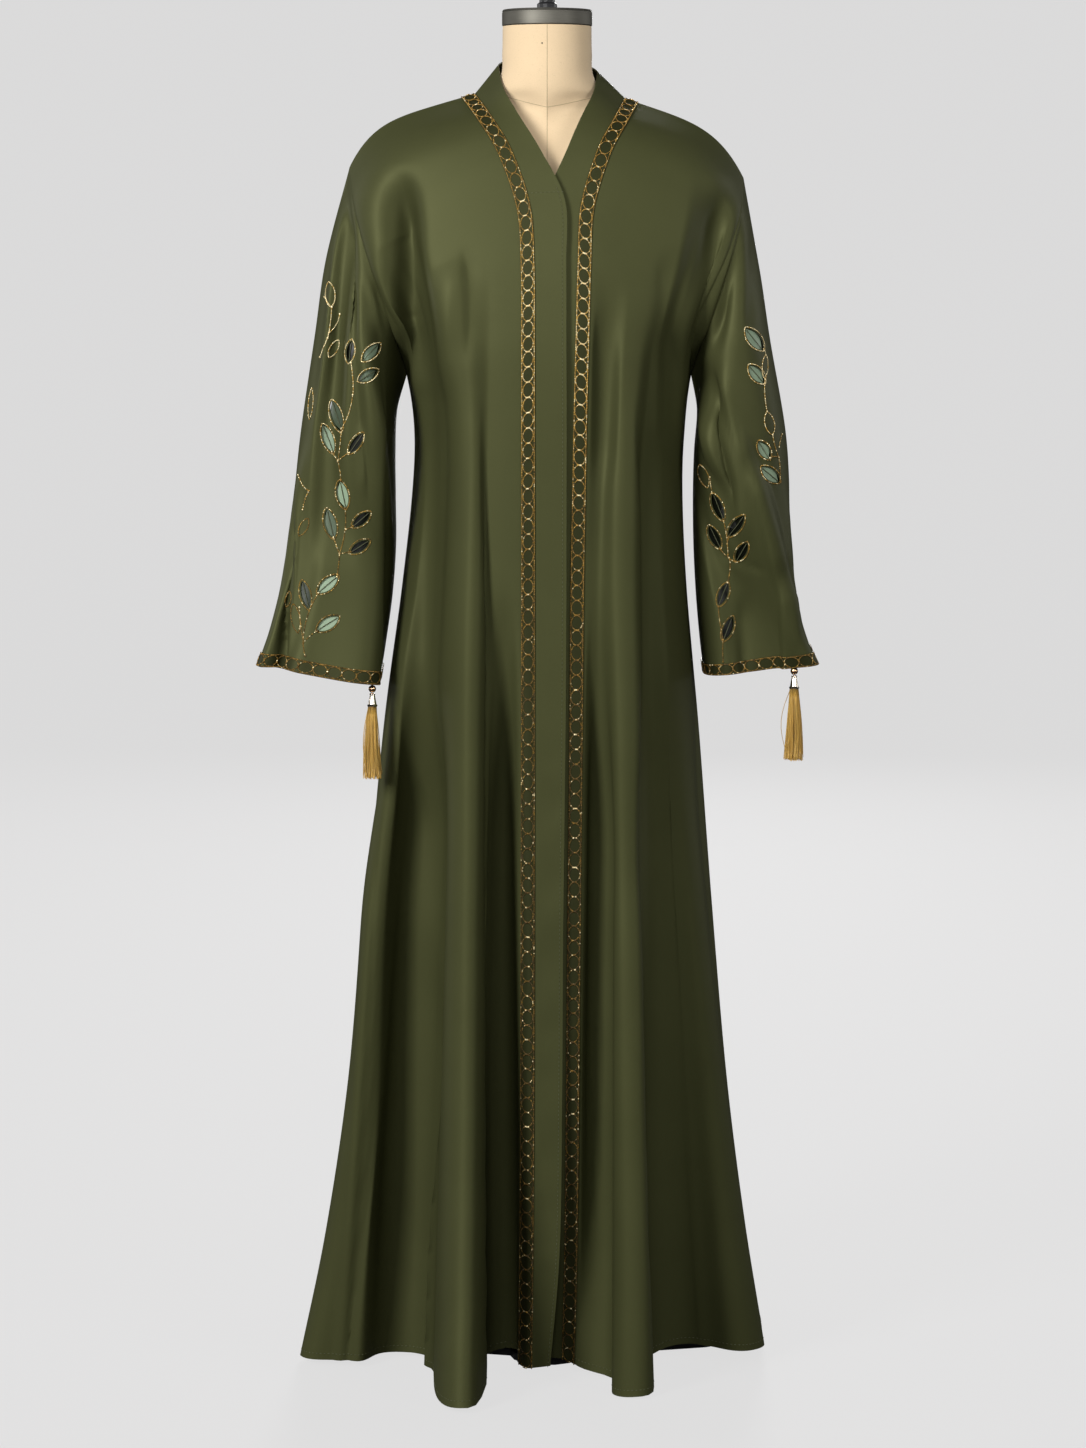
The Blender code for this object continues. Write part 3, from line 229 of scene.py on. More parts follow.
# Cutwork leaves: middle, lean from upright towards +X in degrees, length, width and the painted light of the
# organza in the opening (1 is a painted sheen, 0 is painted shade that stands for the dark inside of the
# sleeve).
LEAF = "x z lean length width pale"
LEAVES = {
    ("left", "front"): table(LEAF, """
    -.192 1.142 45 .024 .01 .8; -.1955 1.117 60 .022 .01 .5; -.215 1.143 8 .023 .008 0;
    -.231 1.072 -18 .034 .012 .35; -.2405 1.047 -20 .032 .011 .8; -.209 1.043 35 .026 .009 0;
    -.2245 .986 -12 .03 .012 1; -.2385 .954 -14 .032 .012 .5; -.204 .959 50 .024 .01 0;
    -.206 .929 58 .024 .01 0; -.241 .888 50 .028 .012 1; -.266 .876 -14 .03 .01 .15;
    -.241 .845 58 .027 .012 .9
    """),
    ("right", "front"): table(LEAF, """
    .227 1.156 -40 .03 .013 1; .2295 1.118 -42 .025 .012 1; .238 1.035 -32 .022 .011 .9;
    .2455 1.008 -50 .026 .012 1; .188 .972 -22 .03 .01 0; .2075 .952 34 .028 .01 0;
    .185 .938 -26 .026 .01 0; .214 .923 28 .023 .01 0; .1945 .875 22 .026 .01 0; .2 .837 22 .027 .01 0
    """),
    ("left", "back"): table(LEAF, """
    -.212 1.11 20 .03 .012 .6; -.238 1.07 -24 .03 .012 .2; -.216 1.03 30 .028 .012 .8;
    -.245 .99 -22 .03 .012 .3; -.216 .95 34 .028 .012 .7; -.248 .91 -24 .03 .012 .2;
    -.22 .87 34 .028 .012 .6
    """),
    ("right", "back"): table(LEAF, """
    .205 1.11 -20 .03 .012 .6; .229 1.07 24 .03 .012 .2; .206 1.03 -30 .028 .012 .8;
    .236 .99 22 .03 .012 .3; .206 .95 -34 .028 .012 .7; .238 .91 24 .03 .012 .2;
    .21 .87 -34 .028 .012 .6
    """),
}
# Embroidered leaves with no opening
OUTLINE = "x z lean length width"
OUTLINES = {
    ("left", "front"): table(OUTLINE, """
    -.238 1.2045 -5 .028 .011; -.234 1.1455 30 .022 .009; -.26 1.085 4 .034 .006;
    -.268 .95 28 .022 .009; -.2768 .85 -10 .032 .01; -.2858 .87 14 .018 .007
    """),
    ("right", "front"): table(OUTLINE, """
    .239 1.126 4 .026 .007; .244 1.064 -14 .026 .011; .173 1.005 -18 .026 .01
    """),
    ("left", "back"): table(OUTLINE, "-.228 1.15 -6 .03 .011; -.23 .838 6 .028 .01"),
    ("right", "back"): table(OUTLINE, ".22 1.15 6 .03 .011; .222 .838 -6 .028 .01"),
}
# Stems: start, control point and end of each curve
STEM = "x0 z0 x1 z1 x2 z2"
STEMS = {
    ("left", "front"): table(STEM, """
    -.2446 1.2017 -.24 1.1956 -.2363 1.1902; -.2363 1.1908 -.2368 1.1728 -.2407 1.1571;
    -.2407 1.1571 -.2446 1.1478 -.2492 1.1359; -.2391 1.163 -.2292 1.1706 -.2271 1.1832;
    -.214 1.131 -.2105 1.108 -.2122 1.096; -.2122 1.096 -.215 1.074 -.2249 1.0587;
    -.2249 1.0587 -.2262 1.04 -.2293 1.0231; -.236 1.033 -.2335 1.029 -.2293 1.0231;
    -.2163 1.033 -.2226 1.029 -.2293 1.0231; -.2293 1.0231 -.2268 1.015 -.2258 1.001;
    -.2218 .9715 -.219 .948 -.2283 .9212; -.2209 .948 -.2173 .949 -.213 .952;
    -.235 .939 -.2325 .932 -.2283 .9212; -.2158 .9235 -.2219 .922 -.2283 .9212;
    -.2283 .9212 -.2285 .911 -.231 .896; -.2515 .8785 -.2663 .8542 -.2681 .8285;
    -.2725 .862 -.272 .845 -.2681 .8285; -.252 .8375 -.262 .832 -.2682 .8233;
    -.2681 .8285 -.2687 .82 -.2659 .8099; -.2738 1.0067 -.2693 .9928 -.2616 .9899;
    -.2616 .9899 -.2671 .9808 -.2688 .969
    """),
    ("right", "front"): table(STEM, """
    .237 1.145 .2395 1.143 .24 1.138; .2388 1.112 .237 1.0988 .241 1.077;
    .2475 1.052 .2483 1.0432 .2545 1.0263; .2545 1.0263 .2573 1.015 .256 .999;
    .244 1.0262 .2506 1.0289 .2545 1.0263; .2587 1.0515 .256 1.0443 .2549 1.0377;
    .1796 1.0049 .18 .9972 .182 .987; .1938 .959 .1985 .9412 .1998 .9181;
    .2 .94 .1991 .9368 .1986 .9313; .1908 .9262 .1954 .9192 .2009 .9159;
    .2085 .912 .2042 .912 .2009 .9159; .2009 .9159 .2042 .906 .1995 .888;
    .1895 .862 .1885 .856 .1945 .825; .1948 .824 .1938 .8155 .195 .8006
    """),
    ("left", "back"): table(STEM, """
    -.2268 1.135 -.23 1.1 -.226 1.065; -.217 1.095 -.223 1.088 -.227 1.078;
    -.226 1.065 -.224 1.03 -.23 .995; -.232 1.056 -.228 1.045 -.2262 1.04;
    -.223 1.018 -.226 1.01 -.2285 1.002; -.23 .995 -.234 .96 -.231 .925;
    -.2395 .976 -.235 .966 -.2325 .96; -.224 .938 -.229 .93 -.2315 .92;
    -.231 .925 -.229 .885 -.231 .852; -.242 .896 -.236 .886 -.2305 .88;
    -.227 .858 -.2295 .856 -.231 .852; -.231 .824 -.232 .816 -.233 .808
    """),
    ("right", "back"): table(STEM, """
    .2188 1.135 .222 1.1 .218 1.065; .21 1.095 .215 1.088 .219 1.078; .218 1.065 .215 1.03 .221 .995;
    .223 1.056 .219 1.045 .217 1.04; .213 1.018 .216 1.01 .219 1.002; .221 .995 .225 .96 .222 .925;
    .2305 .976 .226 .966 .2232 .96; .214 .938 .219 .93 .2222 .92; .222 .925 .219 .885 .2215 .852;
    .232 .896 .226 .886 .2205 .88; .217 .858 .2195 .856 .2215 .852; .2215 .824 .2225 .816 .2235 .808
    """),
}
# Creases over a panel, as seen from the front or the back: a curve of three points, how far it reaches to the
# viewer's left and right, its height, and whether it runs on to the hem.
CREASE = "x0 z0 x1 z1 x2 z2 left right height open"
CREASES = {
    "front_left": table(CREASE, """
    -.0747 1.1168 -.0752 .62 -.075 -.04 .026 .0042 .01 1;
    -.048 .9115 -.0483 .3443 -.0441 -.04 .017 .012 -.034 1;
    -.1446 .81 -.1526 .4864 -.171 -.04 .026 .026 -.048 1;
    -.1283 1.2482 -.1359 .9664 -.1461 .6624 .018 .016 -.0085 0;
    -.1895 .7287 -.1956 .3319 -.2301 -.0629 .0016 .0016 -.0016 1;
    -.1965 .7287 -.2036 .3319 -.24 -.0629 .006 .01 .004 1;
    -.0981 1.2565 -.113 1.1778 -.118 1.0791 .022 .015 .005 0;
    -.0905 1.2589 -.08 1.2101 -.0864 1.1257 .005 .016 -.0034 0;
    -.1601 1.3479 -.1583 1.2304 -.1448 1.1003 .016 .015 -.03 0;
    -.1648 .6641 -.1544 .5296 -.134 .3683 .01 .006 .002 0
    """),
    "front_right": table(CREASE, """
    .0927 1.1092 .0954 .8323 .0962 .5467 .03 .004 .0075 0;
    .0961 .68 .0988 .2813 .1115 -.04 .028 .004 .01 1;
    .057 1.2072 .0625 1.0919 .0616 .9863 .01 .014 -.004 0;
    .0545 .8957 .0539 .3779 .0497 -.04 .013 .014 -.026 1;
    .197 1.3379 .1844 1.2204 .1607 1.1003 .018 .016 -.016 0;
    .1304 1.2601 .1262 1.1993 .1351 1.0947 .012 .014 -.004 0;
    .1365 .82 .1438 .491 .1604 -.04 .03 .04 -.018 1
    """),
    "back": table(CREASE, """
    .09 1.3 .11 1.22 .135 1.13 .014 .016 -.006 0; -.09 1.3 -.108 1.225 -.13 1.14 .016 .014 -.006 0;
    -.07 1 -.085 .7 -.09 .02 .03 .006 .006 1; .06 1.04 .07 .7 .095 .02 .006 .03 .006 1;
    0 .9 .005 .6 .006 .02 .014 .016 -.01 1; -.15 .95 -.165 .6 -.185 .02 .02 .02 -.01 1;
    .14 .9 .155 .6 .175 .02 .02 .02 -.01 1
    """),
    "placket_left": table(CREASE, """
    -.011 .716 .006 .709 .016 .696 .008 .008 -.0011 0; -.01 .664 .004 .657 .017 .641 .007 .007 -.0014 0;
    -.011 .618 .005 .614 .015 .606 .007 .007 .0013 0; -.009 .576 .003 .565 .016 .557 .008 .008 -.0016 0;
    -.01 .53 .006 .526 .014 .513 .007 .007 .0014 0; -.011 .49 .004 .478 .015 .472 .007 .007 -.0017 0;
    -.008 .442 .005 .436 .014 .424 .008 .008 .0013 0; -.011 .406 .003 .396 .015 .389 .007 .007 -.0015 0;
    -.01 .356 .004 .35 .014 .336 .008 .008 -.0013 0; -.011 .31 .005 .304 .013 .294 .007 .007 .0012 0;
    -.01 .264 .002 .256 .014 .248 .007 .007 -.0014 0; -.012 .204 .004 .198 .012 .186 .008 .008 -.0012 0;
    -.011 .148 .002 .142 .012 .132 .007 .007 .0012 0
    """),
    "sleeve_left_front": table(CREASE, """
    -.2145 1.3603 -.215 1.2638 -.2134 1.1298 .0085 .007 -.011 0;
    -.1993 1.3416 -.1824 1.2421 -.1675 1.1498 .007 .006 -.009 0;
    -.2719 1.0526 -.277 .9133 -.2875 .7402 .0035 .02 .006 1;
    -.277 1.0526 -.2821 .9133 -.2926 .7402 .008 .003 -.01 1;
    -.2042 1.0687 -.2 1.0305 -.2014 .9814 .005 .003 .003 0;
    -.179 1.1313 -.184 .9795 -.1881 .74 .022 .0035 .006 1;
    -.2373 1.2747 -.251 1.1768 -.2628 1.0565 .007 .006 -.003 0;
    -.196 1.29 -.193 1.22 -.18 1.15 .007 .007 .003 0
    """),
    "sleeve_right_front": table(CREASE, """
    .1805 1.1303 .2005 1.0679 .2172 1.0075 .0035 .018 .006 0;
    .215 1.0275 .2385 .9582 .2566 .871 .003 .018 .0065 0;
    .2554 .902 .2624 .8423 .2638 .7702 .003 .014 .006 1;
    .187 .9229 .2124 .9097 .2455 .8986 .003 .004 -.0018 0;
    .2636 1.0144 .2686 .9126 .2791 .8104 .006 .005 .0022 0;
    .2084 1.338 .1979 1.2313 .1808 1.1341 .006 .007 -.01 0;
    .1744 1.1413 .1857 1.0455 .2054 .9395 .012 .01 -.014 0;
    .2148 .8799 .2195 .8256 .2219 .75 .007 .007 -.004 1; .23 1.29 .227 1.22 .22 1.15 .008 .008 -.0026 0
    """),
    "sleeve_left_back": table(CREASE, """
    -.2 1.28 -.206 1.19 -.21 1.1 .007 .007 -.006 0; -.24 1.12 -.246 .95 -.256 .7902 .004 .016 .005 1;
    -.195 1.05 -.2 .93 -.206 .7902 .012 .004 .004 1
    """),
    "sleeve_right_back": table(CREASE, """
    .195 1.28 .201 1.19 .205 1.1 .007 .007 -.006 0; .233 1.12 .239 .95 .248 .7902 .016 .004 .005 1;
    .188 1.05 .193 .93 .199 .7902 .004 .012 .004 1
    """),
}

# Colours of the cloths
CREPE_COLOUR = (.0425, .0450, .0175)
LINEN_COLOUR = (.70, .53, .33)

# Bead work and stitches: slot, finish, half sizes along, across and up from the cloth, share painted as
# flashes of light
BEADS = {
    "leaf_bead": ("gold_bead", "beads", (.00088, .00074, .00060), .16),
    "leaf_sequin": ("gold_bead", "beads", (.0012, .0012, .0008), .35),
    "trim_bead": ("bead_trim", "beads", (.00090, .00070, .00055), .05),
    "trim_sequin": ("bead_trim", "beads", (.0011, .0011, .0007), .30),
    "midrib": ("crepe", "thread", (.0009, .00055, .0004), 0),
    "stitch": ("crepe", "thread", (.0015, .00042, .00032), 0),
    "seam": ("linen", "seam", (.0011, .00045, .00030), 0),
    "pin": ("steel", "steel", (.0009, .0009, .0006), 0),
}
BEAD_PITCH = 0.00175
BEAD_LIFT = 0.6
STITCH_PITCH = 0.0046
MIDRIB_PITCH = 0.0012
SEAM_PITCH = 0.0016
RING_PITCH = 0.0164
RING_STEPS = 16
RING_HALF = 0.0062
RING_POWER = 0.50
BORDER_INSET = 0.0009
KNOT_REACH = 0.0016
CUFF_TRIM_ROWS = 5

# Bead tone and painted light: tone's mean and spread, painted highlight round one height, painted shade below
# another
GLINT_MEAN = 0.32
GLINT_SPREAD = 0.16
PAINTED_HIGHLIGHT_MIDDLE = 1.17
PAINTED_HIGHLIGHT_SPAN = 0.13
PAINTED_HIGHLIGHT_RISE = 0.36
PAINTED_SHADE_DROP = 0.24
GLINT_TOP = 0.88
PAINTED_SHADE_BELOW = 0.90
PAINTED_SHADE_SPAN = 0.25

# Cut leaves: how much longer and wider the bead outline is than the opening, and between which depths the
# cut reaches in front (-1) and behind (1)
LEAF_STEPS = 14
LEAF_EDGE_LONG = 0.004
LEAF_EDGE_WIDE = 0.0036
CUT_DEPTHS = {-1: (-.20, .010), 1: (.020, .20)}
ORGANZA_ROWS = 8
ORGANZA_COLUMNS = 4
ORGANZA_MARGIN = 0.0012
ORGANZA_SINK = 0.0005
MIDRIB_REACH = (-0.46, 0.42)

# Tassels: the cap's shares of its half width with heights above its foot, then with depths below its top
CAP_FOOT = ((0, 0), (.9, 0), (1, .0006), (1, .0016), (.88, .0022), (.80, .0035), (.66, .0080))
CAP_TOP = ((.52, .0030), (.50, .0022), (.58, .0016), (.56, .0008), (.40, .0002), (0, 0))
SMALL_BEAD = 0.62
STRANDS = 230
STRAND_SIDES = 4
STRAND_STEPS = 9
STRAND_TURN = 2.39996
SILK_ROOT = 0.0047

# Lights: place, width and height, power
LIGHTS = {
    "key_left": ((-3.0, -3.5, 3.0), (1.2, 2.4), 268),
    "key_right": ((3.4, -3.0, 2.6), (1.2, 2.6), 66),
    "front": ((-.10, -4.8, 2.9), (.8, 2.4), 80),
    "left_rear": ((-4.4, 1.9, 2.3), (.8, 3.0), 34),
    "right_rear": ((4.4, 1.9, 2.3), (.8, 3.0), 34),
    "rear": ((.3, 4.7, 2.6), (.8, 3.2), 190),
}
LIGHT_TARGET = Vector((0, 0, .95))

rng = np.random.default_rng(11)


def along(tab, column, at):
    """Value of a column at places of the table's column v, on a cubic through its rows."""
    keys = tab["v"]
    values = tab[column]
    slopes = np.gradient(values, keys)
    at = np.clip(np.asarray(at, float), keys[0], keys[-1])
    i = np.clip(np.searchsorted(keys, at, side="right") - 1, 0, len(keys) - 2)
    step = keys[i + 1] - keys[i]
    f = (at - keys[i]) / step
    start = (2 * f**3 - 3 * f**2 + 1) * values[i] + (f**3 - 2 * f**2 + f) * step * slopes[i]
    end = (3 * f**2 - 2 * f**3) * values[i + 1] + (f**3 - f**2) * step * slopes[i + 1]
    return start + end


def relief(folds, v, u, around=False):
    """Height of all folds at rows v and columns u."""
    total = np.zeros(np.broadcast(v, u).shape)
    for fold in folds:
        offset = u - along(fold, "u", v)
        if around:
            offset = (offset + 0.5) % 1.0 - 0.5
        width = np.where(offset < 0, along(fold, "inward", v), along(fold, "outward", v))
        bump = 0.5 + 0.5 * np.cos(np.pi * np.clip(np.abs(offset) / width, 0, 1) ** FOLD_ROUND)
        inside = (v >= fold["v"][0]) & (v <= fold["v"][-1])
        total += np.where(inside, along(fold, "height", v) * bump, 0.0)
    return total


def rounded(share, corner):
    """Sine or cosine of a section whose corners have this power: 2 is an ellipse, more is boxier."""
    return np.sign(share) * np.abs(share) ** (2 / corner)


def unit(vectors):
    return vectors / np.maximum(np.linalg.norm(vectors, axis=-1, keepdims=True), 1e-12)


def fall(t, bend):
    """How far a shoulder line has fallen at a share of its width."""
    return (t + t**bend) / 2


def arc_length(points):
    """Distance along a path at each of its points."""
    return np.concatenate([[0], np.cumsum(np.linalg.norm(np.diff(points, axis=0), axis=1))])


ROWS = np.concatenate([
    np.linspace(0, UNDERARM_V, ARM_ROWS + 1),
    np.linspace(UNDERARM_V, HEM_V, SKIRT_ROWS + 1)[1:],
])[:, None]


def front_grid(side):
    """Outer points of a front, rows from the shoulder to the hem, columns from the seam to the side."""
    v = ROWS
    value = {name: along(FRONT[side], name, v) for name in FRONT[side]}
    trim = np.arcsin(np.clip(TRIM_WIDTH / np.abs(value["side_x"] - value["seam_x"]), 0, 1)) * 2 / np.pi
    near = np.linspace(0, 1, TRIM_COLUMNS + 1)[None, :-1] * trim
    far = trim + (1 - trim) * np.linspace(0, 1, FRONT_COLUMNS - TRIM_COLUMNS + 1)[None, :]
    u = np.concatenate([near, far], axis=1)
    t = np.sin(u * np.pi / 2)
    x = value["seam_x"] + (value["side_x"] - value["seam_x"]) * t
    plan = np.clip(1 - t**2, 0, 1) ** (value["square"] / 2)
    y = value["side_y"] + (value["seam_y"] - value["side_y"]) * plan
    z = value["seam_z"] + (value["side_z"] - value["seam_z"]) * fall(t, value["bend"])
    turn = (np.pi / 2) * t**3
    height = relief(FOLDS[side], v, u)
    sign = -1 if side == "left" else 1
    x = x + sign * np.sin(turn) * height
    y = y - np.cos(turn) * height
    lift = along(HEM_LIFT[side], "lift", u) * np.clip((v - HEM_LIFT_V) / (HEM_V - HEM_LIFT_V), 0, 1) ** 2
    return np.stack([x, y, z + lift], axis=-1)


def back_half(side, front):
    """Outer points of half the back, columns from the centre back to the side."""
    v = ROWS
    armhole = front[:, -1].copy()
    armhole[:ARM_ROWS + 1, 1] += along(BACK_ARM, "deep", v[:ARM_ROWS + 1, 0])
    sign = -1 if side == "left" else 1
    value = {name: along(BACK, name, v) for name in BACK}
    turn = np.linspace(np.pi / 2, 0, NECK_COLUMNS + 1)[:, None]
    neck = front[0, 0]
    curve = np.concatenate([
        NECK_MIDDLE_X + (neck[0] - NECK_MIDDLE_X) * np.cos(turn),
        neck[1] + BACK_NECK_DEEP * np.sin(turn),
        neck[2] + (BACK["mid_z"][0] - neck[2]) * np.sin(turn),
    ], axis=1)
    top = np.concatenate([curve[:-1], front[0]])
    arc = arc_length(top)
    low = np.clip(v / UNDERARM_V, 0, 1)
    u = (arc / arc[-1])[None, :] * (1 - low) + np.linspace(0, 1, len(arc))[None, :] * low
    t = np.sin(u * np.pi / 2)
    side_point = armhole[:, None, :]
    x = NECK_MIDDLE_X * (1 - t) + side_point[..., 0] * t
    plan = np.clip(1 - t**2, 0, 1) ** (value["square"] / 2)
    y = side_point[..., 1] + (value["mid_y"] - side_point[..., 1]) * plan
    z = value["mid_z"] + (side_point[..., 2] - value["mid_z"]) * fall(t, value["bend"])
    height = relief(BACK_FOLDS[side], v, u)
    outward = (np.pi / 2) * t**3
    x = x + sign * np.sin(outward) * height * (t < 1)
    y = y + np.cos(outward) * height
    body = np.stack([x, y, z], axis=-1)
    fade = np.clip(1 - v[:, :, None] / (UNDERARM_V * ROUND_SHARE), 0, 1)
    fade = fade**2 * (3 - 2 * fade)
    grid = body + (top - body[0])[None] * fade
    grid[:, -1] = armhole
    return grid


def edge_points(side):
    """The front edge of a placket and its neckband, one point for each row."""
    return np.stack([along(EDGE[side], name, ROWS[:, 0]) for name in "xyz"], axis=-1)


def band_between(edge, seam):
    """A strip of points from a front edge to the seam of its panel."""
    f = np.linspace(0, 1, BAND_COLUMNS + 1)[None, :, None]
    return edge[:, None, :] * (1 - f) + seam[:, None, :] * f


def neckband_grid(fronts, back, join):
    """The neckband from the left placket up, round the back of the neck and down to the right one."""
    left = band_between(edge_points("left"), fronts["left"][:, 0])[:join + 1][::-1]
    right = band_between(edge_points("right"), fronts["right"][:, 0])[:join + 1]
    start = left[-1, 0]
    end = right[0, 0]
    turn = np.linspace(0, np.pi, 2 * NECK_COLUMNS + 1)[:, None]
    share = (1 - np.cos(turn)) / 2
    top = start + (end - start) * share + np.array([0, STAND_BACK_DEEP, STAND_BACK_RISE]) * np.sin(turn)
    middle = back.shape[1] // 2
    seam = back[0, middle - NECK_COLUMNS:middle + NECK_COLUMNS + 1]
    return np.concatenate([left, band_between(top, seam)[1:-1], right])


def sleeve_grid(side, front, back_edge):
    """Outer points of a sleeve, rows from the armhole to the cuff, columns once round."""
    ring = np.concatenate([front[:ARM_ROWS + 1, -1], back_edge[1:ARM_ROWS][::-1]])
    count = len(ring)
    u = np.arange(count) / count
    angle = 2 * np.pi * u
    tab = SLEEVE[side]
    loops = [ring]
    for k in range(len(tab["v"])):
        outer = np.array([tab["outer_" + a][k] for a in "xyz"])
        inner = np.array([tab["inner_" + a][k] for a in "xyz"])
        centre = (outer + inner) / 2
        across = rounded(np.cos(angle), tab["corner"][k])
        deep = rounded(np.sin(angle), tab["corner"][k])
        loop = centre + (outer - centre) * across[:, None]
        loop[:, 1] -= deep * np.where(deep > 0, tab["front"][k], tab["back"][k])
        loops.append(loop)
    keys = np.concatenate([[0], tab["v"]])
    flat = np.array(loops).reshape(len(keys), -1)
    rows = np.linspace(0, SLEEVE_END_V, SLEEVE_ROWS + 1)
    columns = [along({"v": keys, "c": flat[:, c]}, "c", rows) for c in range(flat.shape[1])]
    grid = np.stack(columns, axis=1).reshape(len(rows), count, 3)
    away = (grid - grid.mean(axis=1, keepdims=True)) * np.array([1, 1, 0])
    height = relief(SLEEVE_FOLDS[side], rows[:, None], u[None, :], around=True)
    return grid + unit(away) * height[..., None]


def grid_normals(grid, around=False):
    """Normal of each grid point that points away from the axis."""
    wide = np.concatenate([grid, grid[:, :1]], axis=1) if around else grid
    face = unit(np.cross(wide[1:, 1:] - wide[:-1, :-1], wide[1:, :-1] - wide[:-1, 1:]))
    normals = np.zeros_like(grid)
    rows, cols = face.shape[:2]
    for i in (0, 1):
        for j in (0, 1):
            if around:
                normals[i:rows + i] += np.roll(face, j, axis=1)
            else:
                normals[i:rows + i, j:cols + j] += face
    normals = unit(normals)
    centre = grid.mean(axis=1, keepdims=True) if around else np.array([0, BODY_AXIS_Y, 0])
    away = (grid - centre) * np.array([1, 1, 0])
    return normals if np.sum(away * normals) > 0 else -normals


def curve_points(row, steps):
    """Points of a quadratic curve in the XZ plane."""
    t = np.linspace(0, 1, steps)[:, None]
    a, b, c = (np.array(row[k:k + 2]) for k in (0, 2, 4))
    return a * (1 - t) ** 2 + 2 * b * t * (1 - t) + c * t**2


def to_curve(flat, row):
    """Distance of points of the XZ plane to a curve, which side they lie on and how far along."""
    path = curve_points(row, 25)
    near = np.full(flat.shape[:-1], np.inf)
    offset = np.zeros_like(near)
    share = np.zeros_like(near)
    for k in range(len(path) - 1):
        step = path[k + 1] - path[k]
        t = np.clip((flat - path[k]) @ step / (step @ step), 0, 1)
        gap = flat - path[k] - t[..., None] * step
        distance = np.linalg.norm(gap, axis=-1)
        closer = distance < near
        near = np.where(closer, distance, near)
        offset = np.where(closer, gap[..., 0], offset)
        share = np.where(closer, (k + t) / (len(path) - 1), share)
    return near, offset, share


def add_creases(name, grid, normals, toward=0):
    """The grid with its small creases pushed out or in along its normals.

    With toward -1 or 1 only what faces the front or the back takes part.
    """
    height = np.zeros(grid.shape[:2])
    for row in zip(*CREASES[name].values()):
        left, right, deep, runs_on = row[6:]
        near, offset, share = to_curve(grid[..., ::2], row)
        profile = np.exp(-(near / np.where(offset < 0, left, right)) ** 2)
        fade = smooth(share / CREASE_FADE)
        if not runs_on:
            fade = fade * smooth((1 - share) / CREASE_FADE)
        height += deep * profile * fade
    if toward:
        height *= smooth(toward * normals[..., 1] / FACING_FADE)
    return grid + normals * height[..., None]


def smooth(share):
    """A share from 0 to 1 with soft ends."""
    share = np.clip(share, 0, 1)
    return share**2 * (3 - 2 * share)


# Materials

def surface(made):
    return made.node_tree.nodes["Principled BSDF"]


def shader(name, colour, roughness, metallic=0.0, more=()):
    """A material with its colour and gloss, and more inputs of its surface by name."""
    made = bpy.data.materials.new(name)
    made.use_nodes = True
    made.diffuse_color = (*colour, 1)
    values = {"Base Color": (*colour, 1), "Roughness": roughness, "Metallic": metallic, **dict(more)}
    for key, value in values.items():
        surface(made).inputs[key].default_value = value
    return made


def add_node(made, kind, settings=(), inputs=(), sources=()):
    """A node with its settings, fixed inputs and linked inputs."""
    node = made.node_tree.nodes.new(kind)
    for key, value in dict(settings).items():
        setattr(node, key, value)
    for key, value in dict(inputs).items():
        node.inputs[key].default_value = value
    for key, source in dict(sources).items():
        made.node_tree.links.new(source, node.inputs[key])
    return node


def noise(made, scale, detail=2.0, **more):
    """Noise over the object's own coordinates, with a scale for each axis."""
    place = add_node(made, "ShaderNodeTexCoord").outputs["Object"]
    mapped = add_node(made, "ShaderNodeMapping", inputs={"Scale": scale}, sources={"Vector": place})
    return add_node(made, "ShaderNodeTexNoise", inputs={"Scale": 1.0, "Detail": detail, **more},
                    sources={"Vector": mapped.outputs["Vector"]}).outputs["Fac"]


def read_value(made, name):
    return add_node(made, "ShaderNodeAttribute", {"attribute_name": name}).outputs["Fac"]


def weighted(made, source, weight, other):
    """The source times its weight, plus the other."""
    return add_node(made, "ShaderNodeMath", {"operation": "MULTIPLY_ADD"}, {1: weight},
                    {0: source, 2: other}).outputs[0]


def feed(made, output, key):
    made.node_tree.links.new(output, surface(made).inputs[key])


def colour_by(made, source, *stops):
    """Base colour as a ramp over a source: each stop is (position, colour)."""
    node = add_node(made, "ShaderNodeValToRGB", sources={"Fac": source})
    elements = node.color_ramp.elements
    for element, (place, colour) in zip(elements, (stops[0], stops[-1])):
        element.position = place
        element.color = (*colour, 1)
    for place, colour in stops[1:-1]:
        elements.new(place).color = (*colour, 1)
    feed(made, node.outputs["Color"], "Base Color")


def gloss_by(made, source, low, high):
    node = add_node(made, "ShaderNodeMapRange", inputs={"To Min": low, "To Max": high},
                    sources={"Value": source})
    feed(made, node.outputs["Result"], "Roughness")


def bump_by(made, source, strength, distance):
    node = add_node(made, "ShaderNodeBump", inputs={"Strength": strength, "Distance": distance},
                    sources={"Height": source})
    feed(made, node.outputs["Normal"], "Normal")


def crepe(name, tone):
    """Crepe with a soft sheen: fine pebbled threads and a faint unevenness of the dye."""
    base = np.array(CREPE_COLOUR) * tone
    made = shader(name, base, .52, more={"Specular IOR Level": .30, "Specular Tint": (.80, .82, .38, 1)})
    thread = weighted(made, noise(made, (2600, 2600, 700)), 1, noise(made, (700, 700, 2600)))
    dye = weighted(made, thread, .5, noise(made, (7, 7, 7), 4.0, Roughness=.55))
    colour_by(made, dye, (.65, base * .86), (1.0, base), (1.35, base * 1.13))
    bump_by(made, thread, .25, .0002)
    return made


def bead_metal():
    """Gold beads and sequins: their own tones from dull bronze to gold, with painted highlights, painted
    shade and painted flashes.
    """
    made = shader("gold_beads", (.55, .33, .10), .32, .25)
    tone_and_painted_light = read_value(made, "tone_and_painted_light")
    colour_by(made, tone_and_painted_light, (.0, (.060, .034, .006)), (.40, (.30, .165, .026)), (.80, (.74, .46, .11)),
              (1.0, (1.0, .86, .52)))
    gloss_by(made, tone_and_painted_light, .42, .12)
    return made


